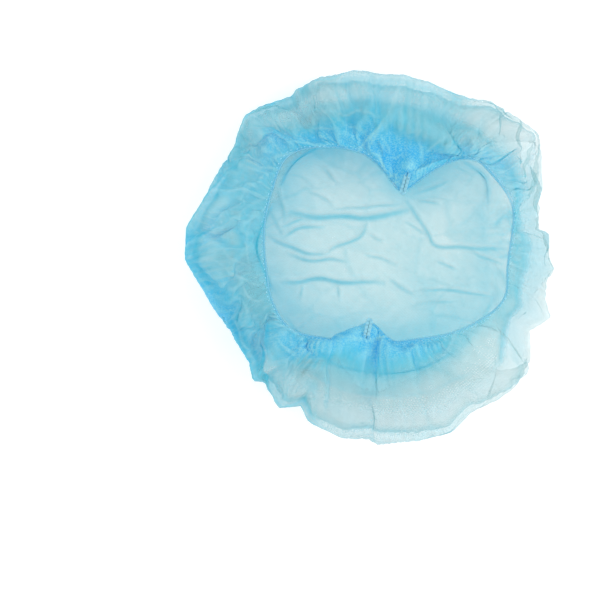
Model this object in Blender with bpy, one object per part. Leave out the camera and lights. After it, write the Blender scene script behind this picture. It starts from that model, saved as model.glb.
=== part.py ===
"""A disposable clip cap, or bouffant hairnet, opened out and lying crown down.

One sheet of thin nonwoven cloth is gathered along two edges by an elastic each. Its other
two edges are pleated up, pressed into an end weld and, once the cap is opened, folded in
half. Opened, the cap is a shallow round bag: a flat crown on the table, a puffed wall that
rolls in over the top, and an opening edged by the two elastics, from weld to weld.

Metres, +Z up. The origin is on the table, under the middle of the cap. +Y is the top of
the reference view, which looks straight down into the opening.
"""

import math
from collections import namedtuple
from functools import lru_cache

import bmesh
import bpy
from mathutils import Vector

# Cloth, hem and elastic
WALL = 0.001
HEM_RADIUS = 0.0024
ELASTIC_DIAMETER = 0.0012
ELASTIC_END_GAP = 0.0025

# The wall's section, from the flat crown up, over and in to the hem
SKIRT_WIDTH = 0.022
WAIST_SHARE = 0.42
SHOULDER_SHARE = 0.46
ROOF_POWER = 1.7
HEM_CURL_START = 90
HEM_CURL_END = 318

# One row for each section of the cap, counted anticlockwise from +X, seen from above.
# reach and opening are measured from the middle of the opening, the pole.
Section = namedtuple("Section", "angle reach opening crest hem_height")
SECTIONS = (
    Section(0, 0.1120, 0.0805, 0.046, 0.037),
    Section(17, 0.1125, 0.0860, 0.049, 0.040),
    Section(35, 0.1280, 0.0830, 0.055, 0.042),
    Section(50, 0.1205, 0.0810, 0.058, 0.041),
    Section(65, 0.1170, 0.0755, 0.061, 0.040),
    Section(84, 0.1185, 0.0690, 0.063, 0.039),
    Section(101, 0.1225, 0.0625, 0.061, 0.039),
    Section(120, 0.1235, 0.0750, 0.058, 0.043),
    Section(137, 0.1325, 0.0880, 0.057, 0.043),
    Section(155, 0.1260, 0.0840, 0.054, 0.041),
    Section(170, 0.1330, 0.0820, 0.056, 0.038),
    Section(180, 0.1380, 0.0810, 0.058, 0.038),
    Section(190, 0.1330, 0.0810, 0.056, 0.039),
    Section(206, 0.1255, 0.0840, 0.057, 0.041),
    Section(220, 0.1280, 0.0840, 0.060, 0.042),
    Section(236, 0.1315, 0.0730, 0.061, 0.041),
    Section(252, 0.1315, 0.0670, 0.059, 0.039),
    Section(268, 0.1340, 0.0635, 0.061, 0.038),
    Section(289, 0.1330, 0.0640, 0.057, 0.040),
    Section(303, 0.1280, 0.0690, 0.053, 0.041),
    Section(318, 0.1260, 0.0760, 0.050, 0.040),
    Section(337, 0.1205, 0.0840, 0.048, 0.038),
    Section(350, 0.1145, 0.0800, 0.046, 0.037),
)

# Where the pleated ends are pressed together, the hem runs in towards the pole.
Weld = namedtuple("Weld", "name angle dip half_width droop")
WELDS = (
    Weld("end_weld_back", 74.5, 0.0355, 34, 0.0065),
    Weld("end_weld_front", 256.5, 0.0145, 20, 0.0035),
)
WELD_LEAF = 0.0145
WELD_BEND = 0.0011
WELD_THICKNESS = 0.0014
WELD_WIDTH = 0.0056
WELD_SETBACK = 0.0010
WELD_LIFT = 0.0018
WELD_CELLS = 17
WELD_ROWS = (0.0, 0.26, 0.78, 1.0)
DASH_ROW = 1
DASH_INSET = 0.00025
DASH_DEPTH = 0.0004

# Tucks are the grooves that cross the wall from waist to roof, where they end at a station.
# A station counts along a section: 0 to 1 crown, 1 to 2 skirt, 2 to 3 shoulder, 3 to 4 roof.
TUCK_END = 3.9
Tuck = namedtuple("Tuck", "angle half_width depth")
TUCKS = (
    Tuck(10, 4.0, 0.0085),
    Tuck(26, 4.5, 0.0022),
    Tuck(54, 4.5, 0.0030),
    Tuck(82, 3.5, 0.0050),
    Tuck(96, 3.5, 0.0040),
    Tuck(121, 3.5, 0.0035),
    Tuck(147, 4.5, 0.0030),
    Tuck(161, 5.0, 0.0025),
    Tuck(206, 5.0, 0.0025),
    Tuck(226, 3.5, 0.0045),
    Tuck(241, 3.5, 0.0070),
    Tuck(263, 3.5, 0.0045),
    Tuck(281, 4.5, 0.0025),
    Tuck(296, 3.5, 0.0050),
    Tuck(312, 4.5, 0.0025),
    Tuck(330, 3.5, 0.0070),
    Tuck(343, 3.5, 0.0040),
)

# Dents are broad hollows.
Dent = namedtuple("Dent", "angle station half_width half_length depth")
DENTS = (
    Dent(22, 2.6, 9, 0.55, 0.0040),
    Dent(48, 3.3, 7, 0.50, 0.0060),
    Dent(64, 2.7, 7, 0.60, 0.0050),
    Dent(83, 3.2, 5, 0.80, 0.0080),
    Dent(104, 3.3, 6, 0.50, 0.0060),
    Dent(116, 2.7, 8, 0.60, 0.0045),
    Dent(149, 3.2, 8, 0.55, 0.0065),
    Dent(174, 2.6, 8, 0.60, 0.0045),
    Dent(194, 3.3, 8, 0.50, 0.0070),
    Dent(219, 2.8, 6, 0.50, 0.0045),
    Dent(236, 3.2, 6, 0.60, 0.0060),
    Dent(262, 3.2, 5, 0.70, 0.0060),
    Dent(284, 3.3, 7, 0.50, 0.0060),
    Dent(306, 2.8, 8, 0.60, 0.0050),
    Dent(327, 3.2, 6, 0.50, 0.0050),
    Dent(351, 2.7, 7, 0.55, 0.0045),
)

# Gathers are the small even folds that the elastic draws up beside the hem.
GATHERS = 36
GATHER_DEPTH = 0.0030
GATHER_UNEVENNESS = 0.22
GATHER_BEATS = 7
GATHER_START = 2.4
GATHER_PEAK = 3.7

# Puckers lift the rim of the crown off the table and leave its middle flat.
PUCKERS = 18
PUCKER_DRIFT = 3
PUCKER_HEIGHT = 0.0022
FLAT_SHARE = 0.5

# The rings of points, from the pole to the rolled hem. along is the share of that part.
# The columns stand evenly round the crown and evenly along the hem.
Ring = namedtuple("Ring", "part along columns")
PARTS = ("crown", "skirt", "shoulder", "roof", "hem")
SPREAD_START = 1.5
RINGS = (
    Ring("crown", 0.22, 18),
    Ring("crown", 0.48, 36),
    Ring("crown", 0.76, 72),
    Ring("crown", 1.00, 72),
    Ring("skirt", 0.38, 72),
    Ring("skirt", 0.72, 72),
    Ring("skirt", 1.00, 144),
    Ring("shoulder", 0.33, 144),
    Ring("shoulder", 0.67, 144),
    Ring("shoulder", 1.00, 144),
    Ring("roof", 0.25, 144),
    Ring("roof", 0.50, 144),
    Ring("roof", 0.72, 144),
    Ring("roof", 0.90, 144),
    Ring("hem", 0.00, 144),
    Ring("hem", 0.25, 144),
    Ring("hem", 0.50, 144),
    Ring("hem", 0.75, 144),
    Ring("hem", 1.00, 144),
)
HEM_COLUMNS = RINGS[-1].columns

CLOTH_BLUE = (0.36, 0.72, 0.86, 1.0)
ELASTIC_CYAN = (0.62, 0.87, 0.90, 1.0)
WELD_BLUE = (0.16, 0.50, 0.76, 1.0)


def clear_scene():
    for thing in list(bpy.data.objects):
        bpy.data.objects.remove(thing, do_unlink=True)


def make_material(name, colour, roughness):
    material = bpy.data.materials.new(name)
    material.use_nodes = True
    shader = material.node_tree.nodes["Principled BSDF"]
    shader.inputs["Base Color"].default_value = colour
    shader.inputs["Roughness"].default_value = roughness
    shader.inputs["Metallic"].default_value = 0.0
    material.diffuse_color = colour
    return material


def turn_between(angle, other):
    """The smallest turn from other to angle, in degrees, from -180 to 180."""
    return (angle - other + 180) % 360 - 180


def around(column, angle):
    """One column of SECTIONS at any angle, on a smooth closed curve through its rows."""
    angle %= 360
    count = len(SECTIONS)
    row = max(i for i, section in enumerate(SECTIONS) if section.angle <= angle)
    near = [SECTIONS[(row + step) % count] for step in (-1, 0, 1, 2)]
    values = [getattr(section, column) for section in near]
    spans = [(b.angle - a.angle) % 360 for a, b in zip(near, near[1:])]
    rises = [(b - a) / span for a, b, span in zip(values, values[1:], spans)]
    leave = (rises[0] * spans[1] + rises[1] * spans[0]) / (spans[0] + spans[1])
    arrive = (rises[1] * spans[2] + rises[2] * spans[1]) / (spans[1] + spans[2])
    share = (angle - near[1].angle) / spans[1]
    start, end = values[1], values[2]
    ease = share * share * (3 - 2 * share)
    bow = share * (1 - share) * spans[1] * (leave * (1 - share) - arrive * share)
    return start + (end - start) * ease + bow


def weld_pull(angle, amount):
    """How far the welds draw the hem at this angle, in or down, as amount names."""
    total = 0.0
    for weld in WELDS:
        away = abs(turn_between(angle, weld.angle)) / weld.half_width
        if away < 1:
            total += getattr(weld, amount) * (0.5 + 0.5 * math.cos(math.pi * away))
    return total


def hem_place(angle):
    """(radius, height) of the middle of the rolled hem, where the elastic lies."""
    radius = around("opening", angle) - weld_pull(angle, "dip") + HEM_RADIUS
    return radius, around("hem_height", angle) - weld_pull(angle, "droop")


def hem_point(angle):
    radius, height = hem_place(angle)
    turn = math.radians(angle)
    return Vector((radius * math.cos(turn), radius * math.sin(turn), height))


@lru_cache(maxsize=None)
def hem_lengths():
    """The hem's length from angle 0 to each whole degree."""
    lengths = [0.0]
    for degree in range(360):
        lengths.append(lengths[-1] + (hem_point(degree + 1) - hem_point(degree)).length)
    return lengths


def hem_angle(share):
    """The angle at this share of the hem's length."""
    lengths = hem_lengths()
    wanted = (share % 1) * lengths[-1]
    degree = max(i for i in range(360) if lengths[i] <= wanted)
    return degree + (wanted - lengths[degree]) / (lengths[degree + 1] - lengths[degree])


def column_angle(share, station):
    """The angle of a column of points, even round the crown and even along the hem."""
    even = 360 * share
    spread = min(1.0, max(0.0, (station - SPREAD_START) / (4 - SPREAD_START)))
    return even + spread * turn_between(hem_angle(share), even)


def bell(away, half_width):
    """1 at the middle of a fold and next to nothing two half widths away."""
    return math.exp(-((away / half_width) ** 2))


def section_frame(part, along, angle):
    """(radius, height, outward slope along the radius, outward slope upwards)."""
    reach = around("reach", angle)
    crest = around("crest", angle)
    hem_radius, hem_height = hem_place(angle)
    contact = reach - SKIRT_WIDTH
    waist = WAIST_SHARE * crest
    crest_radius = reach - SHOULDER_SHARE * (reach - hem_radius)
    quarter = along * math.pi / 2
    if part == "crown":
        return contact * along, 0.0, 0.0, -1.0
    if part == "skirt":
        radius = contact + SKIRT_WIDTH * math.sin(quarter)
        return radius, waist * (1 - math.cos(quarter)), math.sin(quarter), -math.cos(quarter)
    if part == "shoulder":
        radius = crest_radius + (reach - crest_radius) * math.cos(quarter)
        height = waist + (crest - waist) * math.sin(quarter)
        return radius, height, math.cos(quarter), math.sin(quarter)
    radius = crest_radius + (hem_radius - crest_radius) * along
    fall = crest - hem_height - HEM_RADIUS
    return radius, crest - fall * along**ROOF_POWER, 0.0, 1.0


def tuck_window(station):
    """Tucks start at the foot of the skirt, are deepest at the waist and end on the roof."""
    if station < 2:
        return max(0.0, math.sin((station - 1) * math.pi / 2))
    return max(0.0, 1 - (station - 2) / (TUCK_END - 2))


def gather_window(station):
    """Gathers start on the shoulder, are deepest on the roof and end at the hem."""
    if station < GATHER_START:
        return 0.0
    if station < GATHER_PEAK:
        return ((station - GATHER_START) / (GATHER_PEAK - GATHER_START)) ** 1.5
    return (4 - station) / (4 - GATHER_PEAK)


def fold_depth(station, angle, share):
    """How far the cloth stands out of the smooth section here. Hollows are negative."""
    depth = 0.0
    for tuck in TUCKS:
        shape = bell(turn_between(angle, tuck.angle), tuck.half_width)
        depth -= tuck.depth * shape * tuck_window(station)
    for dent in DENTS:
        across = bell(turn_between(angle, dent.angle), dent.half_width)
        depth -= dent.depth * across * bell(station - dent.station, dent.half_length)
    turn = 2 * math.pi * share
    swell = 1 - GATHER_UNEVENNESS * (1 - math.sin(GATHER_BEATS * turn))
    return depth + GATHER_DEPTH * gather_window(station) * math.sin(GATHERS * turn) * swell


def pucker_height(along, share):
    """The lift of the crown's rim, from nothing at its flat middle."""
    rim = max(0.0, (along - FLAT_SHARE) / (1 - FLAT_SHARE))
    turn = 2 * math.pi * share
    wave = 0.5 + 0.5 * math.sin(PUCKERS * turn + math.sin(PUCKER_DRIFT * turn))
    return PUCKER_HEIGHT * rim * wave


def hem_roll_point(along, angle):
    """A point on the outside of the rolled hem, square to the way that the hem runs."""
    curl = math.radians(HEM_CURL_START + (HEM_CURL_END - HEM_CURL_START) * along)
    way = hem_point(angle + 0.5) - hem_point(angle - 0.5)
    outward = Vector((way.y, -way.x, 0.0)).normalized()
    middle = hem_point(angle)
    return middle + HEM_RADIUS * (outward * math.cos(curl) + Vector((0, 0, math.sin(curl))))


def cap_point(part, along, share):
    """A point on the outside of the cap, measured from the pole."""
    station = PARTS.index(part) + along
    angle = column_angle(share, station)
    if part == "hem":
        return hem_roll_point(along, angle)
    radius, height, out, up = section_frame(part, along, angle)
    if part == "crown":
        height += pucker_height(along, share)
    else:
        depth = fold_depth(station, angle, share)
        radius += depth * out
        height = max(height + depth * up, 0.0)
    if part == "skirt":
        height += pucker_height(1.0, share) * (1 - along) ** 2
    turn = math.radians(angle)
    return Vector((radius * math.cos(turn), radius * math.sin(turn), height))


def ring_points(ring):
    return [cap_point(ring.part, ring.along, i / ring.columns) for i in range(ring.columns)]


def middle_of_plan(points):
    """The middle of the points' box in plan, which becomes the origin."""
    middle = [(min(p[k] for p in points) + max(p[k] for p in points)) / 2 for k in (0, 1)]
    return Vector((*middle, 0.0))


def stitch(mesh, inner, outer):
    """Joins two closed rings of points, the outer with as many as the inner or twice."""
    count = len(inner)
    for i in range(count):
        after = (i + 1) % count
        if len(outer) == count:
            mesh.faces.new((inner[i], outer[i], outer[after], inner[after]))
            continue
        first, middle, last = 2 * i, 2 * i + 1, (2 * i + 2) % len(outer)
        mesh.faces.new((inner[i], outer[first], outer[middle]))
        mesh.faces.new((inner[i], outer[middle], inner[after]))
        mesh.faces.new((inner[after], outer[middle], outer[last]))


def add_object(name, data, material):
    thing = bpy.data.objects.new(name, data)
    bpy.context.scene.collection.objects.link(thing)
    thing.data.materials.append(material)
    return thing


def make_cap_body(rings, middle, material):
    """The one sheet of cloth: rings of points from the pole to the rolled hem, given a wall."""
    mesh = bmesh.new()
    pole = mesh.verts.new(-middle)
    loops = [[mesh.verts.new(point - middle) for point in ring] for ring in rings]
    first = loops[0]
    for i, point in enumerate(first):
        mesh.faces.new((point, pole, first[(i + 1) % len(first)]))
    for inner, outer in zip(loops, loops[1:]):
        stitch(mesh, inner, outer)
    mesh.faces.ensure_lookup_table()
    bmesh.ops.recalc_face_normals(mesh, faces=mesh.faces)
    if mesh.faces[0].normal.z > 0:
        bmesh.ops.reverse_faces(mesh, faces=mesh.faces)
    data = bpy.data.meshes.new("cap_body")
    mesh.to_mesh(data)
    mesh.free()
    data.shade_smooth()
    body = add_object("cap_body", data, material)
    wall = body.modifiers.new("wall", "SOLIDIFY")
    wall.thickness = WALL
    wall.offset = -1.0
    wall.use_rim = True


def make_elastic(name, start, end, middle, material):
    """An elastic thread inside the rolled hem, from one weld round to the other."""
    end_turn = math.degrees(ELASTIC_END_GAP / hem_place(start)[0])
    first, last = start + end_turn, end - end_turn
    corners = [hem_angle(i / HEM_COLUMNS) + turn for turn in (0, 360) for i in range(HEM_COLUMNS)]
    angles = [first] + [a for a in corners if first + 1 < a < last - 1] + [last]
    curve = bpy.data.curves.new(name, "CURVE")
    curve.dimensions = "3D"
    spline = curve.splines.new("POLY")
    spline.points.add(len(angles) - 1)
    for point, angle in zip(spline.points, angles):
        point.co = (*(hem_point(angle) - middle), 1.0)
    curve.bevel_depth = ELASTIC_DIAMETER / 2
    curve.bevel_resolution = 1
    curve.use_fill_caps = True
    add_object(name, curve, material)


def weld_frame(weld, middle):
    """The foot of the weld's bend on the roof, and its three directions."""
    hem_radius = hem_place(weld.angle)[0]
    reach = around("reach", weld.angle)
    roof_width = (1 - SHOULDER_SHARE) * (reach - hem_radius)
    turn = math.radians(weld.angle)
    outward = Vector((math.cos(turn), math.sin(turn), 0.0))
    foot, far = (
        outward * radius + Vector((0, 0, height))
        for radius, height, *_ in (
            section_frame("roof", 1 - back / roof_width, weld.angle)
            for back in (WELD_SETBACK, WELD_SETBACK + WELD_LEAF)
        )
    )
    run = (far - foot).normalized()
    across = Vector((-outward.y, outward.x, 0.0))
    lift = run.cross(across)
    if lift.z < 0:
        lift = -lift
    return foot + lift * WELD_LIFT - middle, run, across, lift


def bend_place(place):
    """(distance out, distance across, outward direction) on the strip folded in half."""
    quarter = math.pi / 2 * WELD_BEND
    if abs(place) < quarter:
        turn = place / WELD_BEND
        along, side = -math.cos(turn), math.sin(turn)
        return WELD_BEND * (1 + along), WELD_BEND * side, (along, side)
    side = math.copysign(1.0, place)
    return WELD_BEND + abs(place) - quarter, WELD_BEND * side, (0.0, side)


def make_end_weld(weld, middle, material):
    """The pressed end of the pleats, folded in half, with a row of short sunken dashes."""
    foot, run, across, lift = weld_frame(weld, middle)
    mesh = bmesh.new()
    cross_sections = []
    for cell in range(WELD_CELLS + 1):
        out, side, facing = bend_place(WELD_LEAF * (2 * cell / WELD_CELLS - 1))
        strip = foot + run * out + across * side
        half = (run * facing[0] + across * facing[1]) * (WELD_THICKNESS / 2)
        heights = [lift * (WELD_WIDTH * row) for row in WELD_ROWS]
        front = [strip + height + half for height in heights]
        back = [strip + height - half for height in reversed(heights)]
        cross_sections.append([mesh.verts.new(point) for point in front + back])
    dashes = []
    count = len(cross_sections[0])
    for cell, (near, far) in enumerate(zip(cross_sections, cross_sections[1:])):
        for k in range(count):
            after = (k + 1) % count
            face = mesh.faces.new((near[k], near[after], far[after], far[k]))
            if k == DASH_ROW and cell % 2 == 1:
                dashes.append(face)
    mesh.faces.new(cross_sections[0])
    mesh.faces.new(reversed(cross_sections[-1]))
    bmesh.ops.recalc_face_normals(mesh, faces=mesh.faces)
    bmesh.ops.inset_individual(mesh, faces=dashes, thickness=DASH_INSET, depth=-DASH_DEPTH)
    data = bpy.data.meshes.new(weld.name)
    mesh.to_mesh(data)
    mesh.free()
    add_object(weld.name, data, material)


def main():
    clear_scene()
    rings = [ring_points(ring) for ring in RINGS]
    middle = middle_of_plan([point for ring in rings for point in ring])
    cloth = make_material("nonwoven_cloth", CLOTH_BLUE, 0.85)
    thread = make_material("elastic_thread", ELASTIC_CYAN, 0.6)
    pressed = make_material("pressed_cloth", WELD_BLUE, 0.5)
    make_cap_body(rings, middle, cloth)
    back, front = WELDS
    make_elastic("elastic_left", back.angle, front.angle, middle, thread)
    make_elastic("elastic_right", front.angle, back.angle + 360, middle, thread)
    for weld in WELDS:
        make_end_weld(weld, middle, pressed)


main()
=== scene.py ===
# %% [markdown]
# # A disposable cap, opened out
#
# This lesson dresses a disposable hairnet of the closed kind, a bouffant clip cap. The real one is
# a single sheet of thin blue spunbond cloth. Two of its edges are gathered by an elastic each, and
# the other two are pleated up and pressed into a short weld. Opened, it is a shallow puffed bag.
# A small rigid model gives its size and place, and everything here is built round that model.
#
# The order is the frame, the camera, the form of the cap, the sheet as a grid, its folds as
# simulated cloth, its pleats and creases, its finish, and then the welds, the threads, the bonds of
# the hem, the floor and the light.

# %% Load the frame
import math
from collections import namedtuple

import bpy
import numpy as np
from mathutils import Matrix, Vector, noise


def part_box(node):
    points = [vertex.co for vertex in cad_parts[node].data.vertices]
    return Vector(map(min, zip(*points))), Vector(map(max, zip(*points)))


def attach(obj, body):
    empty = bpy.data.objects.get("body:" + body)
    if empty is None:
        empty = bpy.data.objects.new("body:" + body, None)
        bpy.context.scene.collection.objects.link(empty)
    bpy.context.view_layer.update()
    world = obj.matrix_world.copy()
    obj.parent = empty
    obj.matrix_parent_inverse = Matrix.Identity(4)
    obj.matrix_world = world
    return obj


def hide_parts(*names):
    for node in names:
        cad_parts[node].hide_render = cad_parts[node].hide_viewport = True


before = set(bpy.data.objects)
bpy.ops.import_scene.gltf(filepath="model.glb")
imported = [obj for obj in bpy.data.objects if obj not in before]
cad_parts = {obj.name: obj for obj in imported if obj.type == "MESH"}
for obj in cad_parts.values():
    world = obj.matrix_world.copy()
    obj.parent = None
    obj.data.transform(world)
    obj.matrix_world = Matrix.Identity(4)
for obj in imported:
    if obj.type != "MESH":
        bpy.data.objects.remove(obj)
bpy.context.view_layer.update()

BODY = "root"
MM = 0.001

# %% [markdown]
# ## The camera
#
# The reference view looks straight down on the table. A long lens far up keeps the perspective as
# flat as in that view, so the outline that the frame holds and the outline in the picture agree.

# %% Make the camera
VIEW_WIDTH = 0.408
VIEW_MIDDLE = (-0.0466, -0.0292)
CAMERA_HEIGHT = 3.0
FOCUS_HEIGHT = 0.02
SENSOR_WIDTH = 36.0


def make_camera():
    data = bpy.data.cameras.new("camera")
    data.sensor_width = SENSOR_WIDTH
    data.lens = SENSOR_WIDTH * (CAMERA_HEIGHT - FOCUS_HEIGHT) / VIEW_WIDTH
    camera = bpy.data.objects.new("camera", data)
    camera.location = (*VIEW_MIDDLE, CAMERA_HEIGHT)
    bpy.context.scene.collection.objects.link(camera)
    bpy.context.scene.camera = camera
    return camera


camera = make_camera()
print("the lens is", round(camera.data.lens), "mm long")

# %% [markdown]
# ## The form of the cap
#
# The cap is worked out from a table of sections round the opening, as a tailor would take a few
# measures and let a smooth curve join them. Every point of the sheet then has two names. Its share
# counts round the cap, from 0 to 1. Its station counts from the pole outwards: 0 to 1 is the
# crown on the table, 1 to 2 the skirt that lifts off it, 2 to 3 the shoulder that turns over,
# 3 to 4 the roof that runs in to the opening, and 4 to 5 the hem that rolls round its elastic.
#
# The skirt still keeps one long pleat of the strip that the cap was folded to, except on the right,
# where the cap is thin. It is turned in under the wall, between two lips, and its layers deepen the
# colour of the wall above it.

# %% The sections, measured from the middle of the opening
POLE = (0.0126, 0.0072)
HEM_RADIUS = 0.0024
ROLL_RADIUS = 0.0013
SKIRT_WIDTH = 0.022
WAIST_SHARE = 0.42
SHOULDER_SHARE = 0.46
ROOF_POWER = 1.7
HEM_CURL_START = 90
HEM_CURL_END = 318
SPREAD_START = 1.5
INNER_STATIONS = (1.4, 1.8)
INNER_LIPS = (0.80, 0.88)
INNER_WANDER = 0.12
INNER_FULL_WIDTH = 0.016
EVEN_LIPS = [np.mean(INNER_LIPS)] * 2

Section = namedtuple("Section", "angle reach opening crest hem_height inner_pleat")
SECTIONS = (
    Section(0, 0.1120, 0.0805, 0.046, 0.037, 0.000),
    Section(17, 0.1125, 0.0860, 0.049, 0.040, 0.000),
    Section(35, 0.1280, 0.0830, 0.055, 0.042, 0.008),
    Section(50, 0.1205, 0.0810, 0.058, 0.041, 0.030),
    Section(65, 0.1170, 0.0755, 0.061, 0.040, 0.038),
    Section(84, 0.1185, 0.0690, 0.063, 0.039, 0.040),
    Section(101, 0.1225, 0.0625, 0.061, 0.039, 0.042),
    Section(120, 0.1235, 0.0750, 0.058, 0.043, 0.038),
    Section(137, 0.1325, 0.0880, 0.057, 0.043, 0.037),
    Section(155, 0.1260, 0.0840, 0.054, 0.041, 0.038),
    Section(170, 0.1330, 0.0820, 0.056, 0.038, 0.038),
    Section(180, 0.1380, 0.0810, 0.058, 0.038, 0.040),
    Section(190, 0.1330, 0.0810, 0.056, 0.039, 0.036),
    Section(206, 0.1255, 0.0840, 0.057, 0.041, 0.033),
    Section(220, 0.1280, 0.0840, 0.060, 0.042, 0.034),
    Section(236, 0.1315, 0.0730, 0.061, 0.041, 0.040),
    Section(252, 0.1315, 0.0670, 0.059, 0.039, 0.044),
    Section(268, 0.1340, 0.0635, 0.061, 0.038, 0.044),
    Section(289, 0.1330, 0.0640, 0.057, 0.040, 0.040),
    Section(303, 0.1280, 0.0690, 0.053, 0.041, 0.024),
    Section(318, 0.1260, 0.0760, 0.050, 0.040, 0.002),
    Section(337, 0.1205, 0.0840, 0.048, 0.038, 0.000),
    Section(350, 0.1145, 0.0800, 0.046, 0.037, 0.000),
)

Weld = namedtuple("Weld", "name angle dip half_width droop")
WELDS = (
    Weld("end_weld_back", 74.5, 0.0355, 34, 0.0065),
    Weld("end_weld_front", 256.5, 0.0145, 20, 0.0035),
)

# %% A smooth closed curve through one column of the table


def turn_between(angle, other):
    """The smallest turn from other to angle, in degrees."""
    return (angle - other + 180) % 360 - 180


def around(column, angle):
    """One column of SECTIONS at any angles."""
    rows = np.array([section.angle for section in SECTIONS], float)
    values = np.array([getattr(section, column) for section in SECTIONS])
    spans = np.diff(rows, append=rows[0] + 360)
    rises = (np.roll(values, -1) - values) / spans
    slopes = (np.roll(rises, 1) * spans + rises * np.roll(spans, 1)) / (np.roll(spans, 1) + spans)
    angle = np.mod(angle, 360)
    row = np.searchsorted(rows, angle, side="right") - 1
    after = (row + 1) % len(rows)
    share = (angle - rows[row]) / spans[row]
    ease = share * share * (3 - 2 * share)
    bow = share * (1 - share) * spans[row] * (slopes[row] * (1 - share) - slopes[after] * share)
    return values[row] + (values[after] - values[row]) * ease + bow


def weld_pull(angle, amount):
    """How far the welds draw the hem at these angles, in or down, as amount names."""
    total = np.zeros(np.shape(angle))
    for weld in WELDS:
        away = np.minimum(np.abs(turn_between(angle, weld.angle)) / weld.half_width, 1)
        total = total + getattr(weld, amount) * (0.5 + 0.5 * np.cos(np.pi * away))
    return total


def hem_place(angle):
    """The radius and height of the middle of the rolled hem, where the elastic lies."""
    radius = around("opening", angle) - weld_pull(angle, "dip") + HEM_RADIUS
    return radius, around("hem_height", angle) - weld_pull(angle, "droop")


def hem_point(angle):
    radius, height = hem_place(angle)
    turn = np.radians(angle)
    return np.stack([radius * np.cos(turn), radius * np.sin(turn), height], axis=-1)


# %% [markdown]
# ## The columns of the sheet
#
# The threads of a sheet run from its middle to its edge. The hem isn't round, because the two welds
# pull it in, so columns at even angles would crowd at some places of the hem and gape at others.
# The angle of a column therefore changes on its way: even at the pole, and even by length at the hem.

# %% Spread the columns evenly along the hem
HEM_ANGLES = np.linspace(0, 360, 1441)
hem_steps = np.linalg.norm(np.diff(hem_point(HEM_ANGLES), axis=0), axis=1)
HEM_LENGTH = hem_steps.sum()
HEM_SHARES = np.concatenate([[0], np.cumsum(hem_steps)]) / HEM_LENGTH
print("the opening's edge is", round(HEM_LENGTH / MM), "mm round")


def column_angle(share, station):
    """The angle of a column of points, even round the crown and even along the hem."""
    even = 360 * share
    spread = np.clip((station - SPREAD_START) / (4 - SPREAD_START), 0, 1)
    along_hem = np.interp(np.mod(share, 1), HEM_SHARES, HEM_ANGLES)
    return even + spread * turn_between(along_hem, even)


# %% [markdown]
# ## Random, but the same each time
#
# Cloth never folds evenly, so each row of folds needs a phase and a depth that wander. A sum of a
# few sine waves with fixed random starts does that, and it closes on itself round the cap. Two such
# lines, mixed by the station, let a fold also wander on its way from the rim to the hem.

# %% A line that wanders round the cap


def wander(share, beats, seed):
    """A smooth random line round the cap, mostly from -1 to 1, with up to this many beats."""
    chance = np.random.default_rng(seed)
    total = np.zeros(np.shape(share))
    for beat in range(1, beats + 1):
        size, start = chance.normal(), chance.random()
        total = total + size * np.sin(2 * np.pi * (beat * share + start))
    return total / math.sqrt(beats / 2)


def drift(share, station, beats, seed, twist=1.6):
    """A wandering line that changes slowly with the station too."""
    mix = twist * station
    return np.cos(mix) * wander(share, beats, seed) + np.sin(mix) * wander(share, beats, seed + 1)


# %% [markdown]
# ## The smooth section
#
# Cut through the cap from the pole outwards and you see one line. It lies flat, lifts off the table
# in a quarter of an oval, turns over the shoulder in another, and falls away to the hem. The turned
# in pleat interrupts the first quarter.

# %% The smooth section, from the crown to the hem


def inner_share(angle):
    """0 where the skirt has no inner pleat, and 1 where it has one."""
    return np.clip(around("inner_pleat", angle) / INNER_FULL_WIDTH, 0, 1)


def skirt_turn(angle, station, lips):
    """How far the skirt has turned up here, in radians. The inner pleat leaves it at its lips."""
    pleated = inner_share(angle)
    folded = np.interp(station, (1, *INNER_STATIONS, 2), (0, *lips, 1))
    return (pleated * folded + (1 - pleated) * np.clip(station - 1, 0, 1)) * np.pi / 2


def section_at(angle, station):
    """(radius, height, outward slope along the radius, outward slope upwards)."""
    reach = around("reach", angle)
    crest = around("crest", angle)
    hem_radius, hem_height = hem_place(angle)
    contact = reach - SKIRT_WIDTH
    waist = WAIST_SHARE * crest
    crest_radius = reach - SHOULDER_SHARE * (reach - hem_radius)
    skirt = skirt_turn(angle, station, INNER_LIPS)
    skirt_reach = skirt_turn(angle, station, EVEN_LIPS)
    shoulder = np.clip(station - 2, 0, 1) * np.pi / 2
    start, end = INNER_STATIONS
    turned_in = around("inner_pleat", angle) * (1 + INNER_WANDER * wander(angle / 360, 17, 61))
    turned_in = turned_in * np.sin(np.pi * np.clip((station - start) / (end - start), 0, 1))
    roof = np.clip(station - 3, 0, 1)
    fall = crest - hem_height - ROLL_RADIUS
    on_crown, on_skirt, on_shoulder = station <= 1, station <= 2, station <= 3
    nothing = np.zeros(np.shape(station))
    cases = [on_crown, on_skirt, on_shoulder]
    radius = np.select(
        cases,
        [
            contact * np.minimum(station, 1),
            contact + SKIRT_WIDTH * np.sin(skirt_reach) - turned_in,
            crest_radius + (reach - crest_radius) * np.cos(shoulder),
        ],
        crest_radius + (hem_radius - crest_radius) * roof,
    )
    height = np.select(
        cases,
        [nothing, waist * (1 - np.cos(skirt)), waist + (crest - waist) * np.sin(shoulder)],
        crest - fall * roof**ROOF_POWER,
    )
    out = np.select(cases, [nothing, np.sin(skirt), np.cos(shoulder)], nothing)
    up = np.select(cases, [nothing - 1, -np.cos(skirt), np.sin(shoulder)], nothing + 1)
    return radius, height, out, up


# %% [markdown]
# ## Tucks and dents
#
# The wall isn't puffed evenly. A tuck sinks it along one column, from the skirt to the roof, and
# makes a notch in the outline. A dent sinks it round one point. Both have the shape of a bell, so
# they fade out without an edge.

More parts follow.
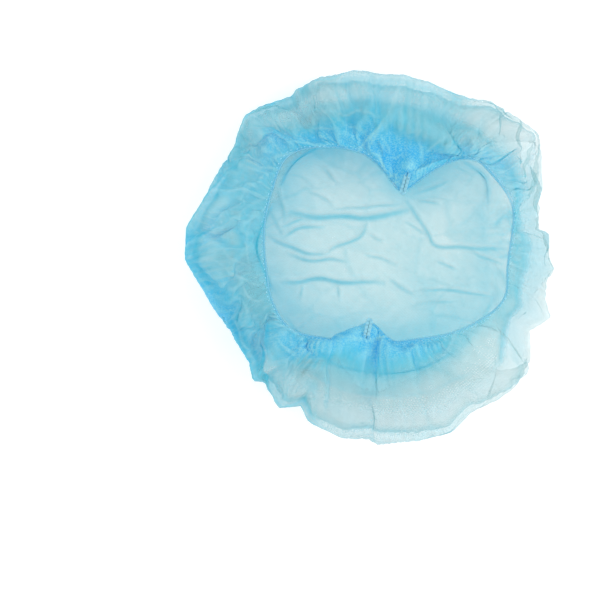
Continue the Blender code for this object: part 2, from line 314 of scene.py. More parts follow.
# %% The tucks and dents that give the outline its corners
TUCK_END = 3.9
Tuck = namedtuple("Tuck", "angle half_width depth")
TUCKS = (
    Tuck(10, 4.0, 0.0085),
    Tuck(26, 4.5, 0.0022),
    Tuck(54, 4.5, 0.0030),
    Tuck(82, 3.5, 0.0050),
    Tuck(96, 3.5, 0.0040),
    Tuck(121, 3.5, 0.0035),
    Tuck(147, 4.5, 0.0030),
    Tuck(161, 5.0, 0.0025),
    Tuck(206, 5.0, 0.0025),
    Tuck(226, 3.5, 0.0045),
    Tuck(241, 3.5, 0.0070),
    Tuck(263, 3.5, 0.0045),
    Tuck(281, 4.5, 0.0025),
    Tuck(296, 3.5, 0.0050),
    Tuck(312, 4.5, 0.0025),
    Tuck(330, 3.5, 0.0070),
    Tuck(343, 3.5, 0.0040),
)

Dent = namedtuple("Dent", "angle station half_width half_length depth")
DENTS = (
    Dent(22, 2.6, 9, 0.55, 0.0040),
    Dent(48, 3.3, 7, 0.50, 0.0060),
    Dent(64, 2.7, 7, 0.60, 0.0050),
    Dent(83, 3.2, 5, 0.80, 0.0080),
    Dent(104, 3.3, 6, 0.50, 0.0060),
    Dent(116, 2.7, 8, 0.60, 0.0045),
    Dent(149, 3.2, 8, 0.55, 0.0065),
    Dent(174, 2.6, 8, 0.60, 0.0045),
    Dent(194, 3.3, 8, 0.50, 0.0070),
    Dent(219, 2.8, 6, 0.50, 0.0045),
    Dent(236, 3.2, 6, 0.60, 0.0060),
    Dent(262, 3.2, 5, 0.70, 0.0060),
    Dent(284, 3.3, 7, 0.50, 0.0060),
    Dent(306, 2.8, 8, 0.60, 0.0050),
    Dent(327, 3.2, 6, 0.50, 0.0050),
    Dent(351, 2.7, 7, 0.55, 0.0045),
)


def bell(away, half_width):
    """1 at the middle of a fold and next to nothing two half widths away."""
    return np.exp(-((away / half_width) ** 2))


def tuck_window(angle, station):
    """Tucks start at the foot of the skirt, are deepest at the waist and end on the roof."""
    rising = np.sin(skirt_turn(angle, station, EVEN_LIPS))
    return np.minimum(rising, np.clip(1 - (station - 2) / (TUCK_END - 2), 0, 1))


def dent_depth(angle, station):
    """How far the tucks and dents sink the cloth here."""
    depth = np.zeros(np.shape(angle))
    for tuck in TUCKS:
        shape = bell(turn_between(angle, tuck.angle), tuck.half_width)
        depth = depth + tuck.depth * shape * tuck_window(angle, station)
    for dent in DENTS:
        across = bell(turn_between(angle, dent.angle), dent.half_width)
        depth = depth + dent.depth * across * bell(station - dent.station, dent.half_length)
    return depth


# %% [markdown]
# ## The folds that the gathers make
#
# The sheet is much longer than the elastic that holds it, so it stands in folds. Close to the hem
# they are small and many, and on their way to the rim they merge into fewer, deeper ones. So there
# is a row of folds for each size. Each has a depth, and a lean that lays it over to one side.

# %% The rows of folds, from the rim in to the hem
Fold = namedtuple("Fold", "count starts fullest ends depth lean drift")
FOLDS = (
    Fold(23, 1.25, 2.5, 3.5, 0.0024, 0.9, 0.55),
    Fold(47, 1.9, 3.1, 3.95, 0.0020, 1.0, 0.60),
    Fold(97, 2.7, 3.55, 4.15, 0.0012, 1.0, 0.55),
)
CREASED = 0.82


def fold_window(station, fold):
    """0 where the fold starts and ends, and 1 where it is fullest."""
    rising = np.clip((station - fold.starts) / (fold.fullest - fold.starts), 0, 1)
    falling = np.clip((fold.ends - station) / (fold.ends - fold.fullest), 0, 1)
    return np.sin(np.minimum(rising, falling) * np.pi / 2) ** 2


def fold_moves(share, station, seed):
    """(how far out, how far round) the folds move the cloth, in metres."""
    out, sideways = np.zeros(np.shape(share)), np.zeros(np.shape(share))
    for row, fold in enumerate(FOLDS):
        start = seed + 10 * row
        phase = fold.count * share + fold.drift * drift(share, station, fold.count // 2, start)
        swell = 1 + 0.5 * drift(share, station, fold.count // 2, start + 3)
        lean = fold.lean * drift(share, station, fold.count // 3, start + 6)
        wave = np.arcsin(CREASED * np.sin(2 * np.pi * phase)) / math.asin(CREASED)
        depth = fold.depth * np.clip(swell, 0.15, 2.0) * fold_window(station, fold) * wave
        out += depth
        sideways += lean * depth
    return out, sideways


# %% [markdown]
# ## The sheet as a grid
#
# A round sheet could be a fan of triangles, but these crowd at the pole and crease there. Here the
# crown is a square grid pressed into a circle, one square ring for each step outwards, and the wall
# goes on from its edge in rows. All faces have four corners, so subdivision keeps them even.

# %% Number the points of the sheet
CROWN_CELLS = 92
COLUMNS = 4 * CROWN_CELLS
ROWS_BETWEEN = ((1, 1.4, 5), (1.4, 1.8, 8), (1.8, 2, 3), (2, 3, 11), (3, 4, 12), (4, 5, 5))
WALL_STATIONS = np.concatenate([np.linspace(a, b, count + 1)[1:] for a, b, count in ROWS_BETWEEN])
ROWS = len(WALL_STATIONS)


def square_ring_share(x, y):
    """The share round the cap of a point of the square, counted along its square ring."""
    size = np.maximum(np.maximum(np.abs(x), np.abs(y)), 1e-9)
    right, top, left = (x == size) & (np.abs(y) <= x), y == size, x == -size
    return np.mod(np.select([right, top, left], [y / size, 2 - x / size, 4 - y / size], 6 + x / size) / 8, 1)


def sheet_grid():
    """Each point's share and station, and the four corners of each face."""
    side = CROWN_CELLS + 1
    line = np.linspace(-1, 1, side)
    x, y = (part.ravel() for part in np.meshgrid(line, line))
    crown_station = np.maximum(np.abs(x), np.abs(y))
    crown_share = square_ring_share(x, y)
    number = np.arange(side * side).reshape(side, side)
    corners = [number[:-1, :-1], number[1:, :-1], number[1:, 1:], number[:-1, 1:]]
    crown_faces = np.stack([part.ravel() for part in corners], axis=1)
    edge = np.flatnonzero(crown_station > 1 - 1e-9)
    edge = edge[np.argsort(crown_share[edge])]
    wall = side * side + np.arange(ROWS * COLUMNS).reshape(ROWS, COLUMNS)
    rows = np.vstack([edge, wall])
    inner, outer = rows[:-1], rows[1:]
    corners = [inner, np.roll(inner, -1, axis=1), np.roll(outer, -1, axis=1), outer]
    wall_faces = np.stack([part.ravel() for part in corners], axis=1)
    share = np.concatenate([crown_share, np.tile(crown_share[edge], ROWS)])
    station = np.concatenate([crown_station, np.repeat(WALL_STATIONS, COLUMNS)])
    return share, station, np.vstack([crown_faces, wall_faces])


share, station, faces = sheet_grid()
print("the sheet starts with", len(share), "points and", len(faces), "faces")

# %% [markdown]
# ## The place of each point
#
# The flat crown, the puffed wall and the rolled hem come from the sections. The wall's tucks and
# dents sink it along its outward direction, and the folds of the gathers move it out and round.

# %% Put the points on the form
RIM_LIFT = 0.0012
RIM_START = 0.5
RIM_FOLDS = 18
LEAST_HEIGHT = 0.0002


def hem_roll(angle, along):
    """Points round the rolled hem, square to the way that it runs."""
    curl = np.radians(HEM_CURL_START + (HEM_CURL_END - HEM_CURL_START) * along)
    way = hem_point(angle + 0.5) - hem_point(angle - 0.5)
    outward = np.stack([way[:, 1], -way[:, 0], np.zeros(len(way))], axis=1)
    outward /= np.linalg.norm(outward, axis=1)[:, None]
    rise = np.stack([np.zeros(len(way)), np.zeros(len(way)), np.sin(curl)], axis=1)
    return hem_point(angle) + ROLL_RADIUS * (outward * np.cos(curl)[:, None] + rise)


def cap_points(share, station, fold_size):
    """The cloth's points, from the middle of the frame. fold_size scales the gathers' folds."""
    angle = column_angle(share, station)
    radius, height, out, up = section_at(angle, station)
    fold_out, fold_round = fold_moves(share, station, seed=3)
    wall = np.clip((station - 1) / 0.2, 0, 1)
    depth = wall * (fold_size * fold_out - dent_depth(angle, station))
    radius = radius + depth * out
    height = height + depth * up
    rim = np.clip((station - RIM_START) / (1 - RIM_START), 0, 1) * np.clip(2 - station, 0, 1) ** 2
    rim_wave = 0.5 + 0.5 * np.sin(2 * np.pi * RIM_FOLDS * share + wander(share, 5, 8))
    height = height + RIM_LIFT * rim * rim_wave
    turn = np.radians(angle) + wall * fold_size * fold_round / np.maximum(radius, 0.03)
    place = np.stack([radius * np.cos(turn), radius * np.sin(turn), height], axis=1)
    rolled = station > 4
    place[rolled] = hem_roll(angle[rolled], station[rolled] - 4)
    place[:, 2] = np.maximum(place[:, 2], LEAST_HEIGHT)
    place[:, :2] += POLE
    return place


place = cap_points(share, station, fold_size=1.0)
print("the folded sheet is", [round(v / MM, 1) for v in np.ptp(place, axis=0)], "mm")

# %% [markdown]
# ## The flat sheet
#
# The finish needs to know where each point lay when the cloth was still flat, so that its pressed
# dots and fibres keep their size. The sheet is laid out as a disc: the way from the pole along the
# smooth section is the radius, and the share is the turn. Towards the hem the disc is far wider
# than the cap, which says how tightly the cloth is gathered there.

# %% Lay the sheet out flat
METRE_STATIONS = np.linspace(0, 5, 501)


def flat_radius(station):
    """The way from the pole to each station along the mean section, in metres."""
    angles = np.arange(0, 360, 5.0)
    total = 0
    for angle in angles:
        radius, height, *_ = section_at(np.full(METRE_STATIONS.shape, angle), METRE_STATIONS)
        steps = np.hypot(np.diff(radius), np.diff(height))
        total = total + np.concatenate([[0], np.cumsum(steps)])
    length = total / len(angles)
    curl = np.radians(HEM_CURL_END - HEM_CURL_START) * ROLL_RADIUS
    length = length + curl * np.clip(METRE_STATIONS - 4, 0, 1)
    return np.interp(station, METRE_STATIONS, length)


def flat_place(share, station):
    radius, turn = flat_radius(station), 2 * np.pi * share
    return np.stack([radius * np.cos(turn), radius * np.sin(turn)], axis=1)


flat = flat_place(share, station)
print("laid flat, the sheet's disc is", round(2 * flat_radius(5) / MM), "mm across")

# %% [markdown]
# ## The sheet as a mesh
#
# The mesh keeps the flat sheet as its UV map. Subdivision later makes new points, and each of them
# then still knows where it was on the flat sheet, and so its share and station. Modifiers are always
# applied through the evaluated object, which leaves a plain mesh.

# %% Make a mesh of the sheet


def add_object(name, data):
    thing = bpy.data.objects.new(name, data)
    bpy.context.scene.collection.objects.link(thing)
    return thing


def make_sheet(name, place, faces, flat):
    """A mesh with the flat sheet as its UV map."""
    data = bpy.data.meshes.new(name)
    data.from_pydata(place.tolist(), [], faces.tolist())
    layer = data.uv_layers.new(name="flat_sheet")
    layer.data.foreach_set("uv", flat[faces.ravel()].astype(np.float32).ravel())
    data.shade_smooth()
    return add_object(name, data)


def as_plain_mesh(thing):
    """Applies every modifier and leaves a plain mesh."""
    bpy.context.view_layer.update()
    seen = thing.evaluated_get(bpy.context.evaluated_depsgraph_get())
    data = bpy.data.meshes.new_from_object(seen)
    thing.modifiers.clear()
    thing.data = data
    return thing


def places_of(data):
    found = np.empty(len(data.vertices) * 3)
    data.vertices.foreach_get("co", found)
    return found.reshape(-1, 3)


cap = make_sheet("cap_cloth", place, faces, flat)

# %% [markdown]
# ## Let the cloth buckle
#
# Real folds are not drawn, they happen: the cloth is cut larger than the room it has, and it
# buckles. Blender's Cloth can do the same. Its springs are given the lengths of a wider, flared
# shape, kept as a shape key, while the hem and the flat crown are pinned. The rest of the wall is
# only held softly near its form. Ten times the real size suits the solver better.

# %% The shape that the springs would like to have
MOST_FLARE = 0.9
Fuller = namedtuple("Fuller", "station large small along")
FULLER = (
    Fuller(1.0, 1.00, 1.00, 1.02),
    Fuller(1.5, 1.05, 1.08, 1.06),
    Fuller(2.0, 1.14, 1.20, 1.10),
    Fuller(3.0, 1.50, 1.60, 1.14),
    Fuller(3.6, 1.60, 1.62, 1.12),
    Fuller(4.0, 1.40, 1.40, 1.08),
    Fuller(5.0, 1.20, 1.20, 1.00),
)


def fuller(column, station):
    return np.interp(station, [row.station for row in FULLER], [getattr(row, column) for row in FULLER])


def wide_points(share, station, folds):
    """The wider shape: each column of the wall in its own upright plane, flared outwards."""
    wide = flat_place(share, station)
    wide = np.column_stack([wide, np.zeros(len(wide))])
    crown = station <= 1 + 1e-9
    side = CROWN_CELLS + 1
    edge = np.flatnonzero((np.arange(len(station)) < side * side) & (station > 1 - 1e-9))
    edge = edge[np.argsort(share[edge])]
    turn = 2 * np.pi * share[edge]
    angle = np.degrees(turn)
    stations = np.concatenate([[1.0], WALL_STATIONS])
    radius_before, height_before, *_ = section_at(angle, np.full(COLUMNS, 1.0))
    wide[crown, :2] *= radius_before.mean() / flat_radius(1.0)
    at, rise = radius_before.copy(), np.zeros(COLUMNS)
    for row, (near, far) in enumerate(zip(stations, stations[1:])):
        radius, height, *_ = section_at(angle, np.full(COLUMNS, min(far, 4.0)))
        length = np.hypot(radius - radius_before, height - height_before)
        if far > 4:
            length = np.full(COLUMNS, np.radians(HEM_CURL_END - HEM_CURL_START) * ROLL_RADIUS * (far - near))
        length = length * fuller("along", (near + far) / 2)
        target = radius * fuller(folds, far)
        step = np.clip(target - at, -MOST_FLARE * length, MOST_FLARE * length)
        at = at + step
        rise = rise + np.sqrt(length**2 - step**2)
        first = side * side + row * COLUMNS
        wide[first : first + COLUMNS] = np.stack([at * np.cos(turn), at * np.sin(turn), rise], axis=1)
        radius_before, height_before = radius, height
    return wide


# %% Run the cloth
SIM_SCALE = 10
CLOTH_MASS = 0.01
AIR_DAMPING = 1
BENDING_DAMPING = 0.1
HEM_HOLD = 1.0
Settling = namedtuple("Settling", "folds frames quality stiffness bending soft_hold most_move")
LARGE_FOLDS = Settling("large", 16, 4, 20, 0.02, 0.02, 0.014)
SMALL_FOLDS = Settling("small", 8, 3, 20, 0.005, 0.03, 0.0025)


def hold_weights(station, soft_hold):
    """How firmly each point is held at its place: the crown and the hem fully, the wall softly."""
    return np.select([station < 0.8, station < 1.0, station < 3.9], [1.0, 0.3, soft_hold], HEM_HOLD)


def prepare_sheet(thing, station, wide, settling):
    """Scales the sheet up and gives it the wider shape as a key, and its hold as a group."""
    data = thing.data
    data.vertices.foreach_set("co", (places_of(data) * SIM_SCALE).ravel())
    thing.shape_key_add(name="Basis")
    key = thing.shape_key_add(name="wide")
    key.data.foreach_set("co", (wide * SIM_SCALE).astype(np.float32).ravel())
    held = thing.vertex_groups.new(name="held")
    hold = hold_weights(station, settling.soft_hold)
    for value in np.unique(hold):
        held.add(np.flatnonzero(hold == value).tolist(), float(value), "REPLACE")
    return key


def add_cloth(thing, key, settling):
    """Cloth with springs as long as the edges of the wider shape.

    The Weld modifier joins no points. With it the cloth starts from the sheet as it is.
    """
    thing.modifiers.new("as_it_is", "WELD").merge_threshold = 1e-7
    cloth = thing.modifiers.new("cloth", "CLOTH")
    settings = cloth.settings
    settings.quality = settling.quality
    settings.mass = CLOTH_MASS
    settings.air_damping = AIR_DAMPING
    settings.tension_stiffness = settings.compression_stiffness = settling.stiffness
    settings.shear_stiffness = settling.stiffness / 4
    settings.bending_stiffness = settling.bending
    settings.bending_damping = BENDING_DAMPING
    settings.vertex_group_mass = "held"
    settings.rest_shape_key = key
    settings.effector_weights.gravity = 0
    cloth.collision_settings.use_collision = False
    cloth.point_cache.frame_start = 1
    cloth.point_cache.frame_end = settling.frames


def let_it_buckle(thing, station, wide, settling):
    """Moves the points of the sheet to the folds that the cloth finds."""
    data = thing.data
    start = places_of(data)
    add_cloth(thing, prepare_sheet(thing, station, wide, settling), settling)
    scene = bpy.context.scene
    for frame_number in range(1, settling.frames + 1):
        scene.frame_set(frame_number)
    seen = thing.evaluated_get(bpy.context.evaluated_depsgraph_get())
    moved = places_of(seen.data) / SIM_SCALE
    thing.modifiers.clear()
    thing.shape_key_clear()
    thing.vertex_groups.clear()
    scene.frame_set(1)
    move = moved - start
    size = np.linalg.norm(move, axis=1)
    print("the cloth moved", round(size.mean() / MM, 2), "mm on average, at most", round(size.max() / MM, 1))
    move *= (np.minimum(size, settling.most_move) / np.maximum(size, 1e-9))[:, None]
    settled = start + move
    settled[:, 2] = np.maximum(settled[:, 2], LEAST_HEIGHT)
    data.vertices.foreach_set("co", settled.ravel())


# %% Let the large folds form
let_it_buckle(cap, station, wide_points(share, station, "large"), LARGE_FOLDS)

# %% [markdown]
# ## Finer squares, and a second pass
#
# The first pass made the large folds on a coarse grid. One level of Subdivision Surface halves its
# squares and rounds those folds. The second pass, shorter and softer, then finds small folds on the
# finer grid.

# %% Subdivide the sheet


def make_finer(thing):
    subdivision = thing.modifiers.new("finer", "SUBSURF")
    subdivision.levels = subdivision.render_levels = 1
    subdivision.uv_smooth = "NONE"
    return as_plain_mesh(thing)


make_finer(cap)
print("once subdivided, the sheet has", len(cap.data.vertices), "points")

# %% Read the share and station back from the flat sheet


def flat_of(data):
    """Each point's place on the flat sheet."""
    count = len(data.loops)
    corner, uv = np.empty(count, int), np.empty(count * 2)
    data.loops.foreach_get("vertex_index", corner)
    data.uv_layers["flat_sheet"].data.foreach_get("uv", uv)
    flat = np.zeros((len(data.vertices), 2))
    flat[corner] = uv.reshape(-1, 2)
    return flat


wide_small = wide_points(share, station, "small")
flat = flat_of(cap.data)
radii = np.hypot(*flat.T)
share = np.mod(np.arctan2(flat[:, 1], flat[:, 0]) / (2 * np.pi), 1)
station = np.interp(radii, flat_radius(METRE_STATIONS), METRE_STATIONS)
pattern = make_finer(make_sheet("pattern", wide_small, faces, wide_small[:, :2]))
wide_small = places_of(pattern.data)
bpy.data.objects.remove(pattern)
let_it_buckle(cap, station, wide_small, SMALL_FOLDS)

# %% [markdown]
# ## Smooth out the smallest crumples
#
# The springs also crumple the cloth as finely as the squares of its grid, and that looks like noise
# and not like cloth. So each point moves part of the way to the middle of its neighbours, a few
# times over, as a hand smooths a sheet. The larger folds hardly change.

# %% Relax the sheet
RELAXINGS = 5
RELAX_SHARE = 0.6
RELAX_ROWS = ((0.68, 0.2), (1.0, 1.0), (4.3, 1.0), (4.6, 0.0))


def at_station(station, rows):
    """A value for each station, from rows of (station, value)."""
    return np.interp(station, *zip(*rows))


def neighbours_of(data):
    """A function that gives the mean of the values at each point's neighbours."""
    pairs = np.empty(len(data.edges) * 2, int)
    data.edges.foreach_get("vertices", pairs)
    near, far = pairs.reshape(-1, 2).T
    count = len(data.vertices)
    ends = np.bincount(near, minlength=count) + np.bincount(far, minlength=count)

    def mean(values):
        if values.ndim == 2:
            return np.stack([mean(column) for column in values.T], axis=1)
        return (np.bincount(near, values[far], count) + np.bincount(far, values[near], count)) / ends

    return mean


def normals_of(data):
    normals = np.empty(len(data.vertices) * 3)
    data.vertices.foreach_get("normal", normals)
    return normals.reshape(-1, 3)


def relax(place, data, station):
    """The points, each drawn to the middle of its neighbours, except in the rolled hem."""
    mean = neighbours_of(data)
    share = RELAX_SHARE * at_station(station, RELAX_ROWS)
    for _ in range(RELAXINGS):
        place = place + share[:, None] * (mean(place) - place)
    return place


def area_of(data):
    """The area of the mesh in square metres, to four places."""
    return round(sum(face.area for face in data.polygons), 4)


place = relax(places_of(cap.data), cap.data, station)
cap.data.vertices.foreach_set("co", place.ravel())
print("relaxed, the cloth's area is", area_of(cap.data), "square metres")

# %% [markdown]
# ## The corners of the outline
#
# Thin pressed cloth does not bulge like a balloon. It keeps flat facets with sharp corners, where
# an old fold meets the rim. The corners of this cap's outline are charted in millimetres from the
# middle of the frame. The rim is then drawn out or in until it meets the straight lines between
# them, and the move fades out towards the opening.

# %% Draw the rim to its corners
CORNERS = (
    (-9, 127), (9, 124), (25, 124), (30, 122), (42, 119), (55, 113), (70, 108), (83, 106),
    (92, 101), (105, 93), (116, 84), (118, 69), (119, 47), (116, 35), (117, 19), (124, 17),
    (124, 1), (127, -8), (122, -16), (121, -29), (124, -41), (118, -46), (110, -50), (111, -70),
    (108, -80), (98, -90), (88, -97), (69, -106), (56, -119), (35, -124), (6, -127), (-1, -123),
    (-18, -123), (-41, -112), (-46, -101), (-61, -103), (-71, -85), (-79, -85), (-81, -73),
    (-94, -51), (-103, -39), (-113, -22), (-125, -2), (-124, 20), (-115, 35), (-107, 49),
    (-101, 61), (-92, 76), (-85, 96), (-74, 103), (-52, 110), (-50, 114), (-33, 123), (-24, 124),
)
OUTLINE_BINS = 360
RIM_REACH = (0.70, 0.97)


def corner_radius(turn):
    """How far the outline's straight lines lie from the pole, in the directions of turn."""
    corners = np.array(CORNERS) * MM - POLE
    turns = np.arctan2(corners[:, 1], corners[:, 0])
    order = np.argsort(turns)
    corners, turns = corners[order], turns[order]
    after = np.searchsorted(turns, turn) % len(turns)
    start, end = corners[after - 1], corners[after]
    way = end - start
    across = np.cos(turn) * way[:, 1] - np.sin(turn) * way[:, 0]
    return (start[:, 0] * way[:, 1] - start[:, 1] * way[:, 0]) / across


def draw_to_corners(place):
    """The points, moved so that their outline from above has the charted corners."""
    plan = place[:, :2] - POLE
    radius, turn = np.hypot(*plan.T), np.arctan2(plan[:, 1], plan[:, 0])
    bins = ((turn + np.pi) / (2 * np.pi) * OUTLINE_BINS).astype(int) % OUTLINE_BINS
    seen = np.zeros(OUTLINE_BINS)
    np.maximum.at(seen, bins, radius)
    middles = (np.arange(OUTLINE_BINS) + 0.5) / OUTLINE_BINS * 2 * np.pi - np.pi
    ratio = np.interp(turn, middles, corner_radius(middles) / seen, period=2 * np.pi)
    reach = np.interp(turn, middles, seen, period=2 * np.pi)
    low, high = RIM_REACH
    near = np.clip((radius / reach - low) / (high - low), 0, 1)
    near = near * near * (3 - 2 * near)
    moved = place.copy()
    moved[:, :2] = POLE + plan * (1 + (ratio - 1) * near)[:, None]
    return moved, np.abs(ratio - 1).max() * reach.max()


place, most = draw_to_corners(places_of(cap.data))
cap.data.vertices.foreach_set("co", place.ravel())
print("the rim moved by up to", round(most / MM, 1), "mm to meet its corners")

# %% [markdown]
# ## Fine pleats
#
# Before it was opened, the sheet lay in a strip of narrow pleats, and the elastics still draw it up
# in small ones. They run from the rim to the hem and hold much of its cloth, most of all inside the
# pleat that is turned in. A sine wave round the cap lifts and sinks the wall along its normal. Its
# phase and depth wander, as real pleats do. Depths are in millimetres.

# %% Pleat the wall finely
FinePleat = namedtuple("FinePleat", "station depth")
FINE_PLEATS = (
    FinePleat(1.0, 0.0),
    FinePleat(1.15, 0.5),
    FinePleat(1.3, 0.6),
    FinePleat(1.4, 0.15),
    FinePleat(1.8, 0.15),
    FinePleat(1.95, 0.1),
    FinePleat(2.3, 0.25),
    FinePleat(3.0, 0.4),
    FinePleat(3.85, 0.3),
    FinePleat(4.0, 0.1),
    FinePleat(5.0, 0.0),
)
INNER_PLEAT_DEPTH = 1.4
INNER_PLEAT_ROWS = ((1.4, 0.0), (1.5, 1.0), (1.7, 1.0), (1.8, 0.0))
FINE_PLEAT_COUNT = 128
FINE_PLEAT_DRIFT = 0.9


def fine_pleat_height(share, station):
    """How far the fine pleats move the cloth along its normal, in metres."""
    depth = at_station(station, FINE_PLEATS)
    hidden = at_station(station, INNER_PLEAT_ROWS) * inner_share(column_angle(share, station))
    depth = MM * np.maximum(depth, INNER_PLEAT_DEPTH * hidden)
    swell = np.clip(1 + 0.6 * drift(share, station, 26, 41), 0.2, 1.9)
    phase = FINE_PLEAT_COUNT * share + FINE_PLEAT_DRIFT * drift(share, station, 14, 44, twist=0.8)
    return depth * swell * np.sin(2 * np.pi * phase)


place = places_of(cap.data)
pleated = fine_pleat_height(share, station)
place += pleated[:, None] * normals_of(cap.data)
place[:, 2] = np.maximum(place[:, 2], LEAST_HEIGHT)
cap.data.vertices.foreach_set("co", place.ravel())
print("pleated, the cloth's area is", area_of(cap.data), "square metres")

# %% [markdown]
# ## Creases on the crown
#
# The crown was folded to a strip, so it lies flat but keeps its creases. Each is a thin ridge of
# pinched cloth that stands up into the cap. A crease is a short list of points in millimetres from
# the middle of the frame, with how wide and how high its ridge is.

# %% The crown's creases
Crease = namedtuple("Crease", "width height points")
CREASES = (
    Crease(2.2, 3.0, ((-53, 32), (-36, 29), (-21, 30), (-1, 27), (27, 34))),
    Crease(1.2, 1.4, ((-58, 22), (-43, 28))),
    Crease(1.4, 1.8, ((-57, 15), (-47, 22), (-30, 22))),
    Crease(1.5, 2.2, ((-67, 15), (-55, 8), (-43, 4), (-28, 3))),
    Crease(1.5, 2.0, ((-28, 3), (-24, 8), (-13, 11), (-4, 15), (-1, 25))),
    Crease(1.4, 2.0, ((-55, 3), (-36, -2), (-26, 0), (-13, -2))),
    Crease(1.9, 2.8, ((-58, -16), (-47, -16), (-36, -12), (-23, -16), (-13, -16), (-2, -15), (10, -17))),
    Crease(1.1, 1.2, ((-45, -19), (-47, -29))),
    Crease(1.1, 1.4, ((-21, -19), (-19, -28))),
    Crease(1.6, 2.2, ((27, 39), (42, 17), (45, 8), (72, 8), (94, 6))),
    Crease(1.1, 1.2, ((26, 25), (42, 15))),
    Crease(1.1, 1.2, ((1, 17), (11, 12))),
    Crease(1.2, 1.4, ((-2, 3), (20, -4))),
    Crease(1.3, 1.6, ((15, -14), (32, -26))),
    Crease(1.3, 1.8, ((32, -22), (60, -21), (86, -26))),
    Crease(1.1, 1.2, ((32, -32), (49, -30), (60, -29))),
    Crease(1.2, 1.4, ((47, -2), (60, -9))),
    Crease(1.2, 1.4, ((72, 5), (91, -5))),
    Crease(1.2, 1.6, ((-23, 34), (-1, 35), (21, 37))),
    Crease(1.1, 1.4, ((-31, 61), (-20, 51))),
    Crease(1.2, 1.6, ((-62, 46), (-57, 25))),
    Crease(1.1, 1.2, ((-67, 32), (-57, 15))),
    Crease(1.1, 1.2, ((-40, 46), (-26, 39), (-23, 34))),
    Crease(1.1, 1.2, ((35, 39), (49, 37))),
    Crease(1.1, 1.2, ((32, 44), (54, 52))),
)


ROUNDINGS = 3
CREASE_BEND = 0.0014
CREASE_ROWS = ((1.0, 1.0), (1.12, 0.0))


def random_at(plan, steps, seed):
    """A smooth random value at each plan point, with this many steps to the metre."""
    return np.array([noise.noise(Vector((x * steps, y * steps, seed))) for x, y in plan])


def rounded(points):
    """The line with its corners cut off again and again, which leaves a smooth curve."""
    points = np.array(points, float) * MM
    for _ in range(ROUNDINGS):
        near, far = points[:-1], points[1:]
        cut = np.stack([0.75 * near + 0.25 * far, 0.25 * near + 0.75 * far], axis=1).reshape(-1, 2)
        points = np.vstack([points[:1], cut, points[-1:]])
    return points


def distance_to(points, plan):
    """Each plan point's distance to a smooth line by these points, and its share along it."""
    points = rounded(points)
    best, where = np.full(len(plan), np.inf), np.zeros(len(plan))
    lengths = np.linalg.norm(np.diff(points, axis=0), axis=1)
    done = 0.0
    for start, end, length in zip(points, points[1:], lengths):
        along = np.clip(((plan - start) @ (end - start)) / length**2, 0, 1)
        away = np.linalg.norm(plan - (start + along[:, None] * (end - start)), axis=1)
        nearer = away < best
        best[nearer] = away[nearer]
        where[nearer] = (done + along[nearer] * length) / lengths.sum()
        done += length
    return best, where


Crumple = namedtuple("Crumple", "cell stretch width rise seed")
CROWN_CRUMPLE = Crumple(0.021, 2.1, 0.10, 0.0007, 2.5)
WALL_CRUMPLE = Crumple(0.009, 1.0, 0.16, 0.0005, 5.5)


def crumple_lines(plan, crumple):
    """From 0 on the facets to 1 on the faint creases between them."""
    found = np.empty(len(plan))
    for k, (x, y) in enumerate(plan):
        x += 0.3 * crumple.cell * noise.noise(Vector((x * 45, y * 45, 1.0)))
        y += 0.3 * crumple.cell * noise.noise(Vector((x * 45, y * 45, 7.0)))
        at = Vector((x / (crumple.cell * crumple.stretch), y / crumple.cell, crumple.seed))
        near, far, *_ = noise.voronoi(at)[0]
        strength = 0.5 + 0.8 * noise.noise(Vector((x * 30, y * 30, 9.0)))
        found[k] = max(1 - (far - near) / crumple.width, 0) * min(max(strength, 0), 1)
    return found


def crease_rise(place, station):
    """(how far the creases lift the crown, how much darker the cloth is beside them, partly pinched cloth
    and partly painted shade).
    """
    rise, pinch_and_painted_shade = np.zeros(len(place)), np.zeros(len(place))
    on_crown = at_station(station, CREASE_ROWS)
    plan = place[:, :2]
    bent_plan = plan + CREASE_BEND * random_at(plan, 60, 4.0)[:, None]
    for crease in CREASES:
        away, along = distance_to(crease.points, bent_plan)
        fade = np.sin(np.clip(along, 0.03, 0.97) * np.pi) ** 0.5
        width = crease.width * MM
        rise = np.maximum(rise, crease.height * MM * bell(away, width) * fade * on_crown)
        # Painted shade, partly pinched cloth: a band on the side of each crease towards the bottom of the
        # frame is made darker.
        under, _ = distance_to(crease.points, bent_plan + [0, 0.8 * width])
        pinch_and_painted_shade = np.maximum(pinch_and_painted_shade, bell(under, 0.8 * width) * fade * on_crown * crease.height / 3)
    # The crown's faint crumples are darkened along their creases by painted shade.
    faint = crumple_lines(plan, CROWN_CRUMPLE) * on_crown
    return np.maximum(rise, CROWN_CRUMPLE.rise * faint), np.maximum(pinch_and_painted_shade, 0.22 * faint)


place = places_of(cap.data)
rise, pinch_and_painted_shade = crease_rise(place, station)
place[:, 2] += rise
cap.data.vertices.foreach_set("co", place.ravel())
print("the creases lift the crown by up to", round(rise.max() / MM, 1), "mm")

# %% [markdown]
# ## Veins on the wall
#
# Where the wall was folded and unfolded, thin ridges stand out of it. They catch the light, so in
# the full parts of the cloth they are its palest lines, and where the cloth is thin a fold that is
# pressed under shows as a darker line. The chart names each by its light, from -1 for a fold under
# to 1 for a sharp ridge. Only the upper layer has them, from the rim in to the hem.

